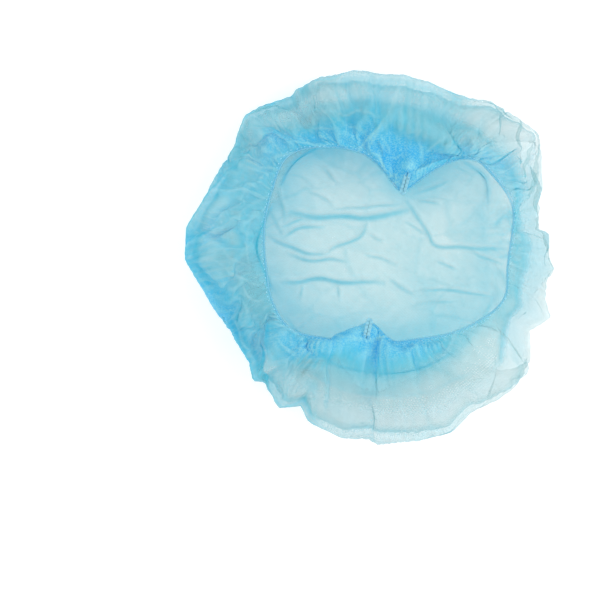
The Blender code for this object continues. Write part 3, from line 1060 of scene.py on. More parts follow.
# %% The chart of the veins
Vein = namedtuple("Vein", "light width points")
VEINS = (
    Vein(0.9, 1.3, ((-29, 101), (-24, 98), (-17, 95), (-13, 96), (-10, 98), (-5, 98), (2, 95), (10, 93))),
    Vein(1.0, 1.5, ((13, 104), (14, 95), (9, 91), (6, 85), (0, 80), (-4, 76), (-7, 71), (-10, 67))),
    Vein(0.8, 2.0, ((21, 119), (18, 108), (14, 98), (15, 89))),
    Vein(0.5, 3.2, ((37, 114), (39, 105), (35, 97))),
    Vein(0.7, 1.2, ((-43, 89), (-35, 87), (-25, 86), (-19, 87))),
    Vein(0.6, 1.2, ((-41, 92), (-40, 100), (-37, 107), (-33, 110))),
    Vein(0.7, 1.3, ((-55, 80), (-49, 78), (-41, 76), (-33, 75), (-26, 74))),
    Vein(0.8, 1.3, ((-67, 65), (-63, 68), (-53, 69), (-45, 69))),
    Vein(0.8, 1.3, ((-76, 58), (-72, 60), (-64, 60), (-57, 58))),
    Vein(0.8, 1.2, ((-19, 90), (-16, 87), (-8, 87), (-3, 84), (0, 81))),
    Vein(1.0, 1.3, ((1, 71), (6, 68), (9, 63), (11, 58))),
    Vein(0.7, 1.1, ((6, 82), (10, 78), (13, 73), (13, 69))),
    Vein(0.6, 1.0, ((12, 66), (20, 68), (27, 69))),
    Vein(0.9, 1.0, ((7, 53), (15, 55), (23, 53), (32, 51))),
    Vein(0.8, 1.0, ((13, 52), (20, 50), (26, 46))),
    Vein(0.6, 1.1, ((-16, 74), (-11, 71))),
    Vein(0.8, 1.3, ((32, 81), (35, 74), (36, 68), (36, 59))),
    Vein(0.8, 1.3, ((37, 69), (43, 75), (52, 81), (64, 85))),
    Vein(0.6, 1.2, ((21, 83), (32, 85), (43, 87), (52, 87))),
    Vein(0.9, 1.8, ((92, 97), (87, 89), (82, 83), (77, 76), (75, 68), (69, 62), (63, 55))),
    Vein(0.6, 1.2, ((-84, 33), (-77, 36), (-70, 40), (-65, 41))),
    Vein(0.7, 1.1, ((-81, 21), (-81, 24), (-77, 27), (-72, 31), (-70, 34))),
    Vein(0.8, 1.1, ((-81, 21), (-83, 15), (-83, 5), (-81, -5), (-79, -14))),
    Vein(0.7, 1.3, ((-98, 8), (-95, 1), (-89, -3), (-84, -5), (-80, -11))),
    Vein(0.9, 1.3, ((-99, -5), (-93, -10), (-87, -15), (-81, -18), (-76, -20), (-70, -18))),
    Vein(1.0, 1.3, ((-87, -16), (-83, -23), (-80, -27), (-75, -31), (-69, -27))),
    Vein(0.7, 1.4, ((-86, -27), (-82, -34), (-83, -43), (-86, -46))),
    Vein(0.6, 1.2, ((-98, -37), (-92, -36), (-87, -39))),
    Vein(0.7, 1.3, ((-93, -41), (-87, -48), (-86, -57), (-82, -63), (-75, -61))),
    Vein(0.9, 1.4, ((-66, -44), (-58, -47), (-50, -51), (-44, -56))),
    Vein(0.8, 1.3, ((-65, -52), (-60, -59), (-54, -64), (-48, -70))),
    Vein(1.0, 1.1, ((-24, -53), (-16, -54), (-8, -56), (-2, -57), (4, -55), (13, -54), (21, -54))),
    Vein(0.7, 1.0, ((-16, -44), (-9, -48), (-2, -52))),
    Vein(0.7, 1.6, ((-2, -58), (-2, -65), (-5, -73), (-5, -84), (-7, -92))),
    Vein(0.6, 1.2, ((31, -63), (35, -69))),
    Vein(0.9, 1.8, ((60, -46), (57, -56), (52, -64), (48, -70))),
    Vein(0.6, 1.6, ((22, -84), (31, -88), (38, -93))),
    Vein(0.5, 1.2, ((-45, -69), (-30, -69))),
    Vein(0.5, 1.2, ((-54, -84), (-44, -84), (-34, -84))),
    Vein(-0.9, 2.6, ((27, 119), (26, 106), (23, 92), (22, 78))),
    Vein(-0.7, 1.2, ((60, -85), (69, -90), (77, -98))),
    Vein(-0.6, 1.0, ((60, -95), (71, -96), (77, -99))),
    Vein(-0.6, 1.4, ((50, -77), (62, -82), (76, -83))),
    Vein(-0.6, 1.2, ((-17, -115), (-3, -111), (10, -108), (21, -108))),
    Vein(-0.6, 1.0, ((15, -117), (22, -120), (29, -123))),
    Vein(-0.5, 1.0, ((32, -121), (43, -119), (54, -118))),
    Vein(-0.5, 1.2, ((-43, -96), (-31, -96))),
    Vein(-0.6, 1.2, ((91, 60), (98, 63), (109, 66))),
    Vein(-0.6, 1.2, ((92, 50), (102, 54), (114, 57))),
    Vein(-0.7, 1.8, ((96, 29), (105, 31), (114, 34))),
)
VEIN_ROWS = ((2.0, 0.0), (2.15, 1.0))
VEIN_WIDTH = 0.7
VEIN_BEND = 0.0012


def vein_light(place, station):
    """Each point's light from the veins, from -1 to 1."""
    light = np.zeros(len(place))
    window = at_station(station, VEIN_ROWS)
    upper = np.flatnonzero(window > 0)
    plan = place[upper, :2]
    bent_plan = plan + VEIN_BEND * random_at(plan, 90, 6.0)[:, None]
    swell = random_at(plan, 130, 3.0) * 0.5 + 1
    for vein in VEINS:
        away, along = distance_to(vein.points, bent_plan)
        fade = np.sin(np.clip(along, 0.04, 0.96) * np.pi) ** 0.5
        found = vein.light * bell(away, vein.width * MM * VEIN_WIDTH * swell) * fade
        light[upper] = np.where(np.abs(found) > np.abs(light[upper]), found, light[upper])
    return light * window


veined = vein_light(places_of(cap.data), station)
print("the veins cover", round(100 * (np.abs(veined) > 0.3).mean(), 1), "percent of the points")

# %% [markdown]
# ## The cloth under the welds
#
# An end weld is many layers pressed together, so it is stiffer than the cloth beside it. It has
# settled a little way into the roof, and the cloth under it stays up and falls away to both sides.
# The hem is left where it is, because the elastics run in it.

# %% Settle the welds and hold the cloth up to them
WELD_LEAF = 0.0145
WELD_SETBACK = 0.0010
WELD_LIFT = 0.0006
WELD_SETTLED = 0.3
WELD_REST = 0.004
CLOTH_GAP = 0.0002
HELD_WIDTH = 0.0075
HELD_BEYOND = 0.009
HELD_ROWS = ((2.6, 0.0), (3.0, 1.0), (3.94, 1.0), (3.99, 0.0))
ROOF_STATIONS = (3.1, 3.95)


def rest_height(place, plan):
    """How high the roof's cloth lies round a plan point."""
    start, end = ROOF_STATIONS
    roof = place[(station > start) & (station < end)]
    near = np.hypot(*(roof[:, :2] - plan).T) < WELD_REST
    return roof[near, 2].mean()


def weld_frame(weld, place):
    """The foot of the weld's bend on the roof, and its three directions."""
    hem_radius, hem_height = hem_place(weld.angle)
    crest, reach = around("crest", weld.angle), around("reach", weld.angle)
    roof_width = (1 - SHOULDER_SHARE) * (reach - hem_radius)
    turn = math.radians(weld.angle)
    outward = np.array([math.cos(turn), math.sin(turn), 0.0])
    ends = []
    for back, settled in ((WELD_SETBACK, 0), (WELD_SETBACK + WELD_LEAF, WELD_SETTLED)):
        end = outward * (hem_radius + back) + [*POLE, 0]
        height = crest - (crest - hem_height - HEM_RADIUS) * (1 - back / roof_width) ** ROOF_POWER
        height += settled * (rest_height(place, end[:2]) - height)
        ends.append(end + [0, 0, height])
    foot, far = ends
    run = (far - foot) / np.linalg.norm(far - foot)
    across = np.array([-outward[1], outward[0], 0.0])
    lift = np.cross(run, across)
    lift *= np.sign(lift[2])
    return foot + lift * WELD_LIFT, run, across, lift


def hold_up(place, weld_place):
    """The sheet's points with the cloth under a weld lifted until it touches."""
    foot, run, across, _ = weld_place
    from_foot = place - foot
    level = run[:2] / np.linalg.norm(run[:2])
    out = from_foot[:, :2] @ level
    short = out * run[2] / np.linalg.norm(run[:2]) - CLOTH_GAP - from_foot[:, 2]
    beyond = np.maximum(out - WELD_LEAF, 0) + np.maximum(-out, 0)
    held = bell(from_foot @ across, HELD_WIDTH) * bell(beyond, HELD_BEYOND)
    lifted = place.copy()
    lifted[:, 2] += np.maximum(short, 0) * held * at_station(station, HELD_ROWS)
    return lifted


weld_frames = [weld_frame(weld, places_of(cap.data)) for weld in WELDS]
for weld_place in weld_frames:
    cap.data.vertices.foreach_set("co", hold_up(places_of(cap.data), weld_place).ravel())
cap.data.update()
print("the welds' bends lie at", [round(float(foot[2]) / MM, 1) for foot, *_ in weld_frames], "mm")

# %% [markdown]
# ## Crumples and soft shading
#
# The wall is crumpled all over by faint creases, and its veins stand out a little, so both lift the
# cloth along its normals. Every small fold then has hard light and shade, more than thin cloth
# shows, because light also passes through it. So the points get custom normals that lean towards
# those of the larger folds round them.

# %% Crumple the wall and soften the shading
SOFTENINGS = 8
SOFT_SHARE = 0.75


def soften_shading(data):
    """Gives the points normals that follow the large folds more than the small ones."""
    mean = neighbours_of(data)
    sharp = normals_of(data)
    soft = sharp
    for _ in range(SOFTENINGS):
        soft = (soft + mean(soft)) / 2
    agree = np.clip((soft * sharp).sum(axis=1), 0, 1)[:, None] * SOFT_SHARE
    soft = agree * soft + (1 - agree) * sharp
    soft /= np.linalg.norm(soft, axis=1)[:, None]
    data.normals_split_custom_set_from_vertices(soft.tolist())


VEIN_RISE = 0.0009
CRUMPLE_ROWS = ((1.1, 0.0), (1.5, 1.0), (3.2, 1.0), (4.2, 0.0))
creased = crumple_lines(flat, WALL_CRUMPLE) * at_station(station, CRUMPLE_ROWS)
place = places_of(cap.data)
lift = np.maximum(WALL_CRUMPLE.rise * creased, VEIN_RISE * veined)
place += lift[:, None] * normals_of(cap.data)
place[:, 2] = np.maximum(place[:, 2], 0)
cap.data.vertices.foreach_set("co", place.ravel())
soften_shading(cap.data)
print("the crumples and veins lift the cloth by up to", round(lift.max() / MM, 1), "mm")

# %% [markdown]
# ## How full the cloth is
#
# Where the sheet is gathered, many layers lie on each other and little light passes. The finer
# gathers are too small to model, so the finish is told how full the cloth is at each point: the
# flat area over the area that is modelled. A short table then adds the places where this cap is
# bunched up most, or least, as it happened to fall, and it also paints shade and light: it makes
# the crown fuller, so darker, where the wall shades it, the left of the wall fuller where it lies
# in more shade, and the lower right thinner, so paler, where more light falls. The crown's row of
# thicknesses paints the wall's shade on it too. The layers of the turned in pleat cling
# together, so they count for less.

# %% The fullness of the cloth
BunchAndPaintedLight = namedtuple("BunchAndPaintedLight", "angle station half_width half_length fullness")
# Rows at stations below 1 paint the wall's shade on the crown, more in some places and less in others. The
# fuller rows round 180 to 206 degrees paint shade on the left of the wall, and the thin row at 316 degrees
# paints the light on the lower right. The other rows are cloth bunched up more or less.
BUNCHES_AND_PAINTED_LIGHT = (
    BunchAndPaintedLight(80, 3.4, 27, 0.85, 2.1),
    BunchAndPaintedLight(74, 4.0, 22, 0.7, 1.5),
    BunchAndPaintedLight(108, 3.7, 26, 0.5, 2.0),
    BunchAndPaintedLight(136, 3.5, 18, 0.6, 1.8),
    BunchAndPaintedLight(60, 3.0, 18, 0.8, 1.1),
    BunchAndPaintedLight(182, 2.3, 34, 1.2, 1.9),
    BunchAndPaintedLight(184, 1.95, 36, 0.30, 1.9),
    BunchAndPaintedLight(128, 1.95, 14, 0.30, 1.6),
    BunchAndPaintedLight(205, 1.95, 14, 0.40, 1.25),
    BunchAndPaintedLight(66, 1.97, 18, 0.20, 1.5),
    BunchAndPaintedLight(110, 1.95, 40, 0.30, 1.7),
    BunchAndPaintedLight(236, 1.95, 20, 0.25, 1.8),
    BunchAndPaintedLight(206, 1.95, 14, 0.5, 1.8),
    BunchAndPaintedLight(200, 1.90, 16, 0.35, 1.8),
    BunchAndPaintedLight(280, 1.95, 30, 0.35, 1.7),
    BunchAndPaintedLight(62, 2.8, 16, 0.5, 0.75),
    BunchAndPaintedLight(195, 2.4, 12, 0.5, 1.2),
    BunchAndPaintedLight(195, 3.6, 12, 0.4, 0.65),
    BunchAndPaintedLight(120, 2.9, 14, 0.4, 0.8),
    BunchAndPaintedLight(240, 2.8, 12, 0.4, 0.65),
    BunchAndPaintedLight(40, 2.3, 20, 0.5, 0.65),
    BunchAndPaintedLight(300, 3.0, 18, 0.9, 0.68),
    BunchAndPaintedLight(332, 2.9, 14, 0.5, 0.5),
    BunchAndPaintedLight(218, 2.6, 12, 0.9, 1.2),
    BunchAndPaintedLight(240, 3.4, 18, 0.9, 2.1),
    BunchAndPaintedLight(265, 3.75, 26, 0.5, 4.4),
    BunchAndPaintedLight(76, 3.65, 9, 0.35, 1.5),
    BunchAndPaintedLight(272, 2.7, 28, 0.7, 0.66),
    BunchAndPaintedLight(290, 3.7, 16, 0.5, 1.5),
    BunchAndPaintedLight(316, 2.7, 26, 1.3, 0.38),
    BunchAndPaintedLight(2, 3.9, 24, 0.30, 1.12),
    BunchAndPaintedLight(2, 2.5, 24, 0.9, 0.46),
    BunchAndPaintedLight(40, 3.7, 16, 0.4, 1.8),
    BunchAndPaintedLight(34, 2.7, 18, 0.8, 0.55),
    BunchAndPaintedLight(80, 0.60, 26, 0.20, 1.4),
    BunchAndPaintedLight(320, 0.55, 75, 0.5, 1.15),
    BunchAndPaintedLight(50, 0.46, 20, 0.15, 1.15),
    BunchAndPaintedLight(205, 0.35, 60, 0.3, 0.92),
    BunchAndPaintedLight(8, 0.45, 26, 0.22, 0.72),
    BunchAndPaintedLight(212, 0.6, 20, 0.15, 0.85),
    BunchAndPaintedLight(77, 0.52, 15, 0.15, 1.35),
    BunchAndPaintedLight(118, 0.85, 24, 0.14, 1.7),
    BunchAndPaintedLight(262, 0.62, 40, 0.20, 1.5),
    BunchAndPaintedLight(0, 0.75, 40, 0.25, 0.75),
)
# The crown's high values, highest towards its edge, paint the shade that the wall casts on it.
THICKNESSES_AND_PAINTED_SHADE = (
    (0.0, 2.08), (0.45, 2.15), (0.75, 2.75), (1.0, 2.0), (1.2, 0.9), (1.80, 0.9), (3.0, 0.92),
    (3.5, 1.0), (3.9, 1.0), (4.15, 0.3),
)
INNER_THICKNESSES = (
    (1.40, 1.0), (1.425, 0.3), (1.45, 0.12), (1.75, 0.12), (1.775, 0.3), (1.80, 1.0),
)
CROWN_EVENNESS = ((0.0, 0.8), (0.5, 0.6), (1.0, 0.0))
LEAST_GATHERED = 0.8
MOST_GATHERED = 1.6


def corners_of(data):
    """The four points of each face."""
    corners = np.empty(len(data.polygons) * 4, int)
    data.polygons.foreach_get("vertices", corners)
    return corners.reshape(-1, 4)


def face_areas(data, points):
    """Each face's area with its points placed so, in space."""
    first, second, third, fourth = (points[column] for column in corners_of(data).T)
    return 0.5 * np.linalg.norm(np.cross(third - first, fourth - second), axis=1)


def at_points(data, values):
    """The mean of the values of the faces round each point."""
    corners = corners_of(data).ravel()
    total = np.bincount(corners, np.repeat(values, 4), len(data.vertices))
    return total / np.bincount(corners, minlength=len(data.vertices))


def cloth_fullness(data, place, flat, share, station):
    """How many layers of cloth one layer of the mesh stands for at each point, with the painted shade and
    light of the charts.
    """
    laid_flat = np.column_stack([flat, np.zeros(len(flat))])
    more = face_areas(data, laid_flat) / face_areas(data, place)
    gathered = at_points(data, np.clip(more, LEAST_GATHERED, MOST_GATHERED))
    gathered += (1 - gathered) * at_station(station, CROWN_EVENNESS)
    angle = column_angle(share, station)
    for bunch_and_light in BUNCHES_AND_PAINTED_LIGHT:
        across = bell(turn_between(angle, bunch_and_light.angle), bunch_and_light.half_width)
        gathered *= 1 + (bunch_and_light.fullness - 1) * across * bell(station - bunch_and_light.station, bunch_and_light.half_length)
    gathered *= at_station(station, THICKNESSES_AND_PAINTED_SHADE)
    clinging = 1 - at_station(station, INNER_THICKNESSES)
    return gathered * (1 - inner_share(angle) * clinging)


def give(data, name, values):
    """Stores a number or a vector on each point, for a material or a tree to read."""
    values = np.asarray(values, np.float32)
    kind, label = ("FLOAT", "value") if values.ndim == 1 else ("FLOAT_VECTOR", "vector")
    data.attributes.new(name, kind, "POINT").data.foreach_set(label, values.ravel())


# %% What the finish is told
RIDGE_BEND = 0.00022
RIDGE_SMOOTHINGS = 2
RIDGE_ROWS = ((0.0, 0.3), (1.0, 0.35), (1.2, 0.6))
# Tint scales the fullness into colour depth. The crown's low values grey it, a painted shade of the wall
# round it.
TINT_AND_PAINTED_SHADE_ROWS = (
    (0.0, 0.36), (1.0, 0.45), (1.2, 1.0), (1.7, 1.0), (1.85, 0.6), (2.15, 0.6), (2.5, 1.0), (3.9, 1.0),
    (4.1, 3.5),
)
# The faint creases of the wall get this share of a painted highlight.
CRUMPLE_PAINTED_HIGHLIGHT = 0.6
# How much the pinched cloth and the painted shade beside the creases add to the layers and to the colour
# depth.
PINCH_AND_SHADE_LAYERS = 2.8
PINCH_AND_SHADE_TINT = 0.8
UNDER_FOLD = 0.9


def ridges(data, place):
    """From 0 on even cloth to 1 on the edge of a fold that stands out."""
    mean = neighbours_of(data)
    bend = ((place - mean(place)) * normals_of(data)).sum(axis=1)
    for _ in range(RIDGE_SMOOTHINGS):
        bend = (bend + mean(bend)) / 2
    return np.clip(bend / RIDGE_BEND, 0, 1)


fullness = cloth_fullness(cap.data, place, flat, share, station)
# Ridges, faint creases and veins get a painted highlight: the finish blends the cloth towards a pale blue
# there.
bent = ridges(cap.data, place) * at_station(station, RIDGE_ROWS)
ridge = np.maximum.reduce([bent, CRUMPLE_PAINTED_HIGHLIGHT * creased, veined])
give(cap.data, "ridge", ridge)
# Fullness and shade carry the real layers and also painted shade and light: the charts of the crown and
# wall, and the pinch beside the creases.
give(cap.data, "fullness", fullness + PINCH_AND_SHADE_LAYERS * pinch_and_painted_shade + UNDER_FOLD * np.maximum(-veined, 0))
give(cap.data, "shade", fullness * at_station(station, TINT_AND_PAINTED_SHADE_ROWS) + PINCH_AND_SHADE_TINT * pinch_and_painted_shade)
print("the cloth's area is", area_of(cap.data), "square metres")
print("its fullness goes up to", round(float(fullness.max()), 1))
print("its ridges average", round(ridge.mean(), 3))

# %% [markdown]
# ## The cloth's finish
#
# Spunbond cloth is a web of fine fibres, cloudy against the light and pressed together by rows of
# small dots. The cap's welds are made of the same web, so the web is a shader group that both
# finishes share. It puts out how thick the web is, where its dots are, and its height for a bump.
#
# The cloth is see-through by its alpha: each layer lets the same share of the light pass, so the
# alpha is one minus that share to the power of the layers. A shadow ray meets less cloth, because
# thin cloth also passes on the light that it scatters. The colour goes from pale to deep blue with
# the layers, which also carry painted shade from the charts of fullness and tint. The pressed dots
# are paler again, and the ridges, creases and veins get a painted highlight in a pale blue.

# %% Helpers for the shader nodes


def add_node(tree, kind, inputs=None, **settings):
    """A node with its settings, and with each input set to a value or linked to a socket."""
    node = tree.nodes.new(kind)
    for name, value in settings.items():
        setattr(node, name, value)
    for name, value in (inputs or {}).items():
        if isinstance(value, bpy.types.NodeSocket):
            tree.links.new(value, node.inputs[name])
        else:
            node.inputs[name].default_value = value
    return node


def maths(tree, operation, *values):
    node = add_node(tree, "ShaderNodeMath", dict(enumerate(values)), operation=operation)
    return node.outputs[0]


def mapped(tree, value, low, high, to_low=0.0, to_high=1.0, **settings):
    """value moved from one range to another, held inside it."""
    ranges = {"Value": value, "From Min": low, "From Max": high, "To Min": to_low, "To Max": to_high}
    return add_node(tree, "ShaderNodeMapRange", ranges, **settings).outputs["Result"]


def vectors(tree, operation, *values, **inputs):
    """One step of vector arithmetic. Inputs with a name, such as Scale, come last."""
    inputs = {**dict(enumerate(values)), **inputs}
    return add_node(tree, "ShaderNodeVectorMath", inputs, operation=operation).outputs


def noise_on(tree, place, steps, **inputs):
    """Noise on a vector, with this many steps to the unit."""
    inputs = {"Vector": place, "Scale": steps, **inputs}
    return add_node(tree, "ShaderNodeTexNoise", inputs).outputs[0]


def blended(tree, share, colour, other):
    """A colour between two, or between a colour and a socket's colour."""
    inputs = {"Factor": share, "A": colour, "B": other}
    return add_node(tree, "ShaderNodeMix", inputs, data_type="RGBA").outputs["Result"]


def marked(tree, name):
    """The value that was given to the mesh under this name."""
    return add_node(tree, "ShaderNodeAttribute", attribute_name=name).outputs["Fac"]


def finish_shader(tree, shader, colour, height, strength, depth, constants):
    """Links a colour and a bump to the shader, and sets its constants on its own sockets."""
    inputs = {"Height": height, "Strength": strength, "Distance": depth}
    bump = add_node(tree, "ShaderNodeBump", inputs).outputs["Normal"]
    tree.links.new(colour, shader.inputs["Base Color"])
    tree.links.new(bump, shader.inputs["Normal"])
    for name, value in constants.items():
        shader.inputs[name].default_value = value


# %% The web of fibres, as a shader group
DOT_ROWS = ((0, 0, 0), (0.5, 0.5, 0))
DOT_OVAL = (1.0, 1.6, 0)
DOT_EDGE = 0.6
FIBRE_TURNS = (0.4, 1.9, 2.7)
FIBRE_STEPS = (300, 2600, 1)


def make_web_group():
    """Inputs: Place in metres, Dot Pitch, Dot Size, Cloud Size. Outputs: Thickness, Dots, Height."""
    tree = bpy.data.node_groups.new("fibre_web", "ShaderNodeTree")
    socket = tree.interface.new_socket
    socket("Place", in_out="INPUT", socket_type="NodeSocketVector")
    for name, value in (("Dot Pitch", 0.0024), ("Dot Size", 0.27), ("Cloud Size", 0.006)):
        socket(name, in_out="INPUT", socket_type="NodeSocketFloat").default_value = value
    for name in ("Thickness", "Dots", "Height"):
        socket(name, in_out="OUTPUT", socket_type="NodeSocketFloat")
    given = tree.nodes.new("NodeGroupInput").outputs
    place = given["Place"]
    steps = maths(tree, "DIVIDE", 1.0, given["Dot Pitch"])
    across = vectors(tree, "SCALE", place, Scale=steps)[0]
    nearest = None
    for offset in DOT_ROWS:
        moved = vectors(tree, "ADD", across, offset)[0]
        cell = vectors(tree, "FRACTION", moved)[0]
        centred = vectors(tree, "ADD", cell, (-0.5, -0.5, 0))[0]
        oval = vectors(tree, "MULTIPLY", centred, DOT_OVAL)[0]
        away = vectors(tree, "LENGTH", oval)["Value"]
        nearest = away if nearest is None else maths(tree, "MINIMUM", nearest, away)
    edge = maths(tree, "MULTIPLY", given["Dot Size"], DOT_EDGE)
    dots = mapped(tree, nearest, given["Dot Size"], edge, interpolation_type="SMOOTHSTEP")
    cloud_steps = maths(tree, "DIVIDE", 1.0, given["Cloud Size"])
    cloud = noise_on(tree, place, cloud_steps, Detail=5.0, Roughness=0.62)
    fibres = None
    for turn in FIBRE_TURNS:
        inputs = {"Vector": place, "Rotation": (0, 0, turn), "Scale": FIBRE_STEPS}
        stretched = add_node(tree, "ShaderNodeMapping", inputs).outputs[0]
        streak = noise_on(tree, stretched, 1.0, Detail=1.0)
        fibres = streak if fibres is None else maths(tree, "MAXIMUM", fibres, streak)
    clouds = mapped(tree, cloud, 0.3, 0.7, 0.88, 1.12)
    streaks = mapped(tree, fibres, 0.45, 0.75, 0.9, 1.15)
    web = maths(tree, "MULTIPLY", clouds, streaks)
    pressed = maths(tree, "MULTIPLY_ADD", dots, -0.2, 1.0)
    thickness = maths(tree, "MULTIPLY", web, pressed)
    height = maths(tree, "MULTIPLY_ADD", dots, -0.8, fibres)
    leaving = tree.nodes.new("NodeGroupOutput").inputs
    for name, value in (("Thickness", thickness), ("Dots", dots), ("Height", height)):
        tree.links.new(value, leaving[name])
    return tree


fibre_web = make_web_group()
print("the web group has", len(fibre_web.nodes), "nodes")

# %% The cloth's material
ONE_LAYER = 0.30
MOST_OPAQUE = 0.97
SCATTERED_ON = 0.45
GRAIN_STEPS = 900.0
GRAIN_LIGHT = 0.5
# How strongly the painted highlight on ridges, creases and veins pales the cloth.
PAINTED_HIGHLIGHT_SHARE = 0.85
Shade = namedtuple("Shade", "fullness colour")
SHADES = (
    Shade(0.6, (0.33, 0.58, 0.59, 1.0)),
    Shade(1.3, (0.12, 0.57, 0.69, 1.0)),
    Shade(2.2, (0.03, 0.56, 0.78, 1.0)),
    Shade(3.5, (0.02, 0.54, 0.86, 1.0)),
    Shade(6.0, (0.02, 0.48, 0.88, 1.0)),
)
# Pale blue for the painted highlight on ridges, creases and veins, and for the real pale speckle of the
# web's dots and grain.
RIDGE_HIGHLIGHT_AND_SPECKLE = (0.34, 0.80, 0.92, 1.0)


def new_material(name):
    material = bpy.data.materials.new(name)
    material.use_nodes = True
    return material, material.node_tree, material.node_tree.nodes["Principled BSDF"]


def add_web(tree, place, pitch, dot, cloud):
    """The web group on a place in metres, with its dots' pitch and size and its clouds' size."""
    inputs = {"Place": place, "Dot Pitch": pitch, "Dot Size": dot, "Cloud Size": cloud}
    return add_node(tree, "ShaderNodeGroup", inputs, node_tree=fibre_web).outputs


def seen_through(tree, layers):
    """The alpha of this many layers of cloth."""
    passed = maths(tree, "POWER", 1 - ONE_LAYER, layers)
    return maths(tree, "MINIMUM", maths(tree, "SUBTRACT", 1.0, passed), MOST_OPAQUE)


def shade_of(tree, fullness):
    """The cloth's colour: pale where it is single, deeper where it lies in many layers and where painted
    shade is added.
    """
    ramp = tree.nodes.new("ShaderNodeValToRGB")
    low, high = SHADES[0].fullness, SHADES[-1].fullness
    stops = ramp.color_ramp.elements
    while len(stops) < len(SHADES):
        stops.new(0.5)
    for stop, shade in zip(stops, SHADES):
        stop.position = (shade.fullness - low) / (high - low)
        stop.color = shade.colour
    tree.links.new(mapped(tree, fullness, low, high), ramp.inputs[0])
    return ramp.outputs["Color"]


def make_cloth_material():
    material, tree, shader = new_material("nonwoven_cloth")
    sheet = add_node(tree, "ShaderNodeUVMap", uv_map="flat_sheet").outputs["UV"]
    # The shade attribute is the colour depth, with painted shade on the crown and beside the creases.
    shade = marked(tree, "shade")
    web = add_web(tree, sheet, 0.0019, 0.25, 0.006)
    layers = maths(tree, "MULTIPLY", marked(tree, "fullness"), web["Thickness"])
    shadow_ray = add_node(tree, "ShaderNodeLightPath").outputs["Is Shadow Ray"]
    kept = maths(tree, "MULTIPLY_ADD", shadow_ray, -SCATTERED_ON, 1.0)
    alpha = maths(tree, "MULTIPLY", seen_through(tree, layers), kept)
    tree.links.new(alpha, shader.inputs["Alpha"])
    speckle = maths(tree, "MULTIPLY", web["Dots"], mapped(tree, shade, 1.0, 4.0, 0.1, 0.5))
    place = add_node(tree, "ShaderNodeTexCoord").outputs["Object"]
    grain = mapped(tree, noise_on(tree, place, GRAIN_STEPS, Detail=1.0), 0.42, 0.66)
    grain = maths(tree, "MULTIPLY", grain, mapped(tree, shade, 2.2, 4.5, 0.0, GRAIN_LIGHT))
    mottle = maths(tree, "ADD", speckle, grain)
    # Painted highlight on the ridges, plus the real pale speckle of the dots and grain.
    light = maths(tree, "MULTIPLY_ADD", marked(tree, "ridge"), PAINTED_HIGHLIGHT_SHARE, mottle)
    colour = blended(tree, light, shade_of(tree, shade), RIDGE_HIGHLIGHT_AND_SPECKLE)
    constants = {
        "Roughness": 0.7,
        "Specular IOR Level": 0.05,
        "Sheen Weight": 0.1,
        "Sheen Roughness": 0.4,
        "Sheen Tint": (0.7, 0.93, 1.0, 1.0),
    }
    finish_shader(tree, shader, colour, web["Height"], 0.5, 0.00015, constants)
    return material


cloth_finish = make_cloth_material()
cap.data.materials.clear()
cap.data.materials.append(cloth_finish)
print("the cloth's finish has", len(cloth_finish.node_tree.nodes), "nodes")

# %% [markdown]
# ## The end welds
#
# Each end of the sheet is pleated up into a strip of many layers and pressed together in a row of
# dashes. On the opened cap the strip is folded in half, so from above it shows the edges of its
# layers, like two covers of a thin book. A block with lines drawn on it would look dead up close.
# So Geometry Nodes sweep a closed section with one rib for each layer along the folded strip, and
# pinch the layers together at each dash.

# %% The sizes of a weld
WELD_BEND = 0.0011
WELD_THICKNESS = 0.0021
WELD_WIDTH = 0.0056
WELD_LAYERS = 6
WELD_STEPS = 116
DASH_PITCH = 0.0034
DASH_LENGTH = 0.0013
DASH_SQUEEZE = 0.45
DASH_EDGES = (1.25, 0.75)
RIB_DEPTH = 0.025


# %% The line of the folded strip


def bend_place(place):
    """(distance out, distance across, facing out, facing across) on the strip folded in half."""
    quarter = math.pi / 2 * WELD_BEND
    if abs(place) < quarter:
        cos, sin = math.cos(place / WELD_BEND), math.sin(place / WELD_BEND)
        return WELD_BEND * (1 - cos), WELD_BEND * sin, -cos, sin
    side = math.copysign(1.0, place)
    return WELD_BEND + abs(place) - quarter, WELD_BEND * side, 0.0, side


def weld_line(name):
    """A level line of edges along the folded strip, with its way along and its facing."""
    places = np.linspace(-WELD_LEAF, WELD_LEAF, WELD_STEPS + 1)
    rows = np.array([bend_place(place) for place in places])
    level = np.zeros(len(rows))
    points = np.column_stack([rows[:, :2], level])
    data = bpy.data.meshes.new(name)
    data.from_pydata(points.tolist(), [(k, k + 1) for k in range(WELD_STEPS)], [])
    give(data, "along", places + WELD_LEAF)
    give(data, "facing", np.column_stack([rows[:, 2:], level]))
    return add_object(name, data)


# %% The tree that pleats the strip


def geometry_tree(name, inputs):
    """A Geometry Nodes tree with a Geometry input and output and these named inputs."""
    tree = bpy.data.node_groups.new(name, "GeometryNodeTree")
    tree.interface.new_socket("Geometry", in_out="INPUT", socket_type="NodeSocketGeometry")
    for label, kind in inputs:
        tree.interface.new_socket(label, in_out="INPUT", socket_type=f"NodeSocket{kind}")
    tree.interface.new_socket("Geometry", in_out="OUTPUT", socket_type="NodeSocketGeometry")
    return tree, tree.nodes.new("NodeGroupInput").outputs


def named(tree, name, kind="FLOAT"):
    """The value of a named attribute."""
    node = add_node(tree, "GeometryNodeInputNamedAttribute", {"Name": name}, data_type=kind)
    return node.outputs["Attribute"]


def shaped(tree, kind, inputs, **settings):
    """The geometry that comes out of a node."""
    return add_node(tree, f"GeometryNode{kind}", inputs, **settings).outputs[0]


def kept_as(tree, geometry, name, value):
    """The geometry with a value stored on its points."""
    inputs = {"Geometry": geometry, "Name": name, "Value": value}
    return shaped(tree, "StoreNamedAttribute", inputs, data_type="FLOAT", domain="POINT")


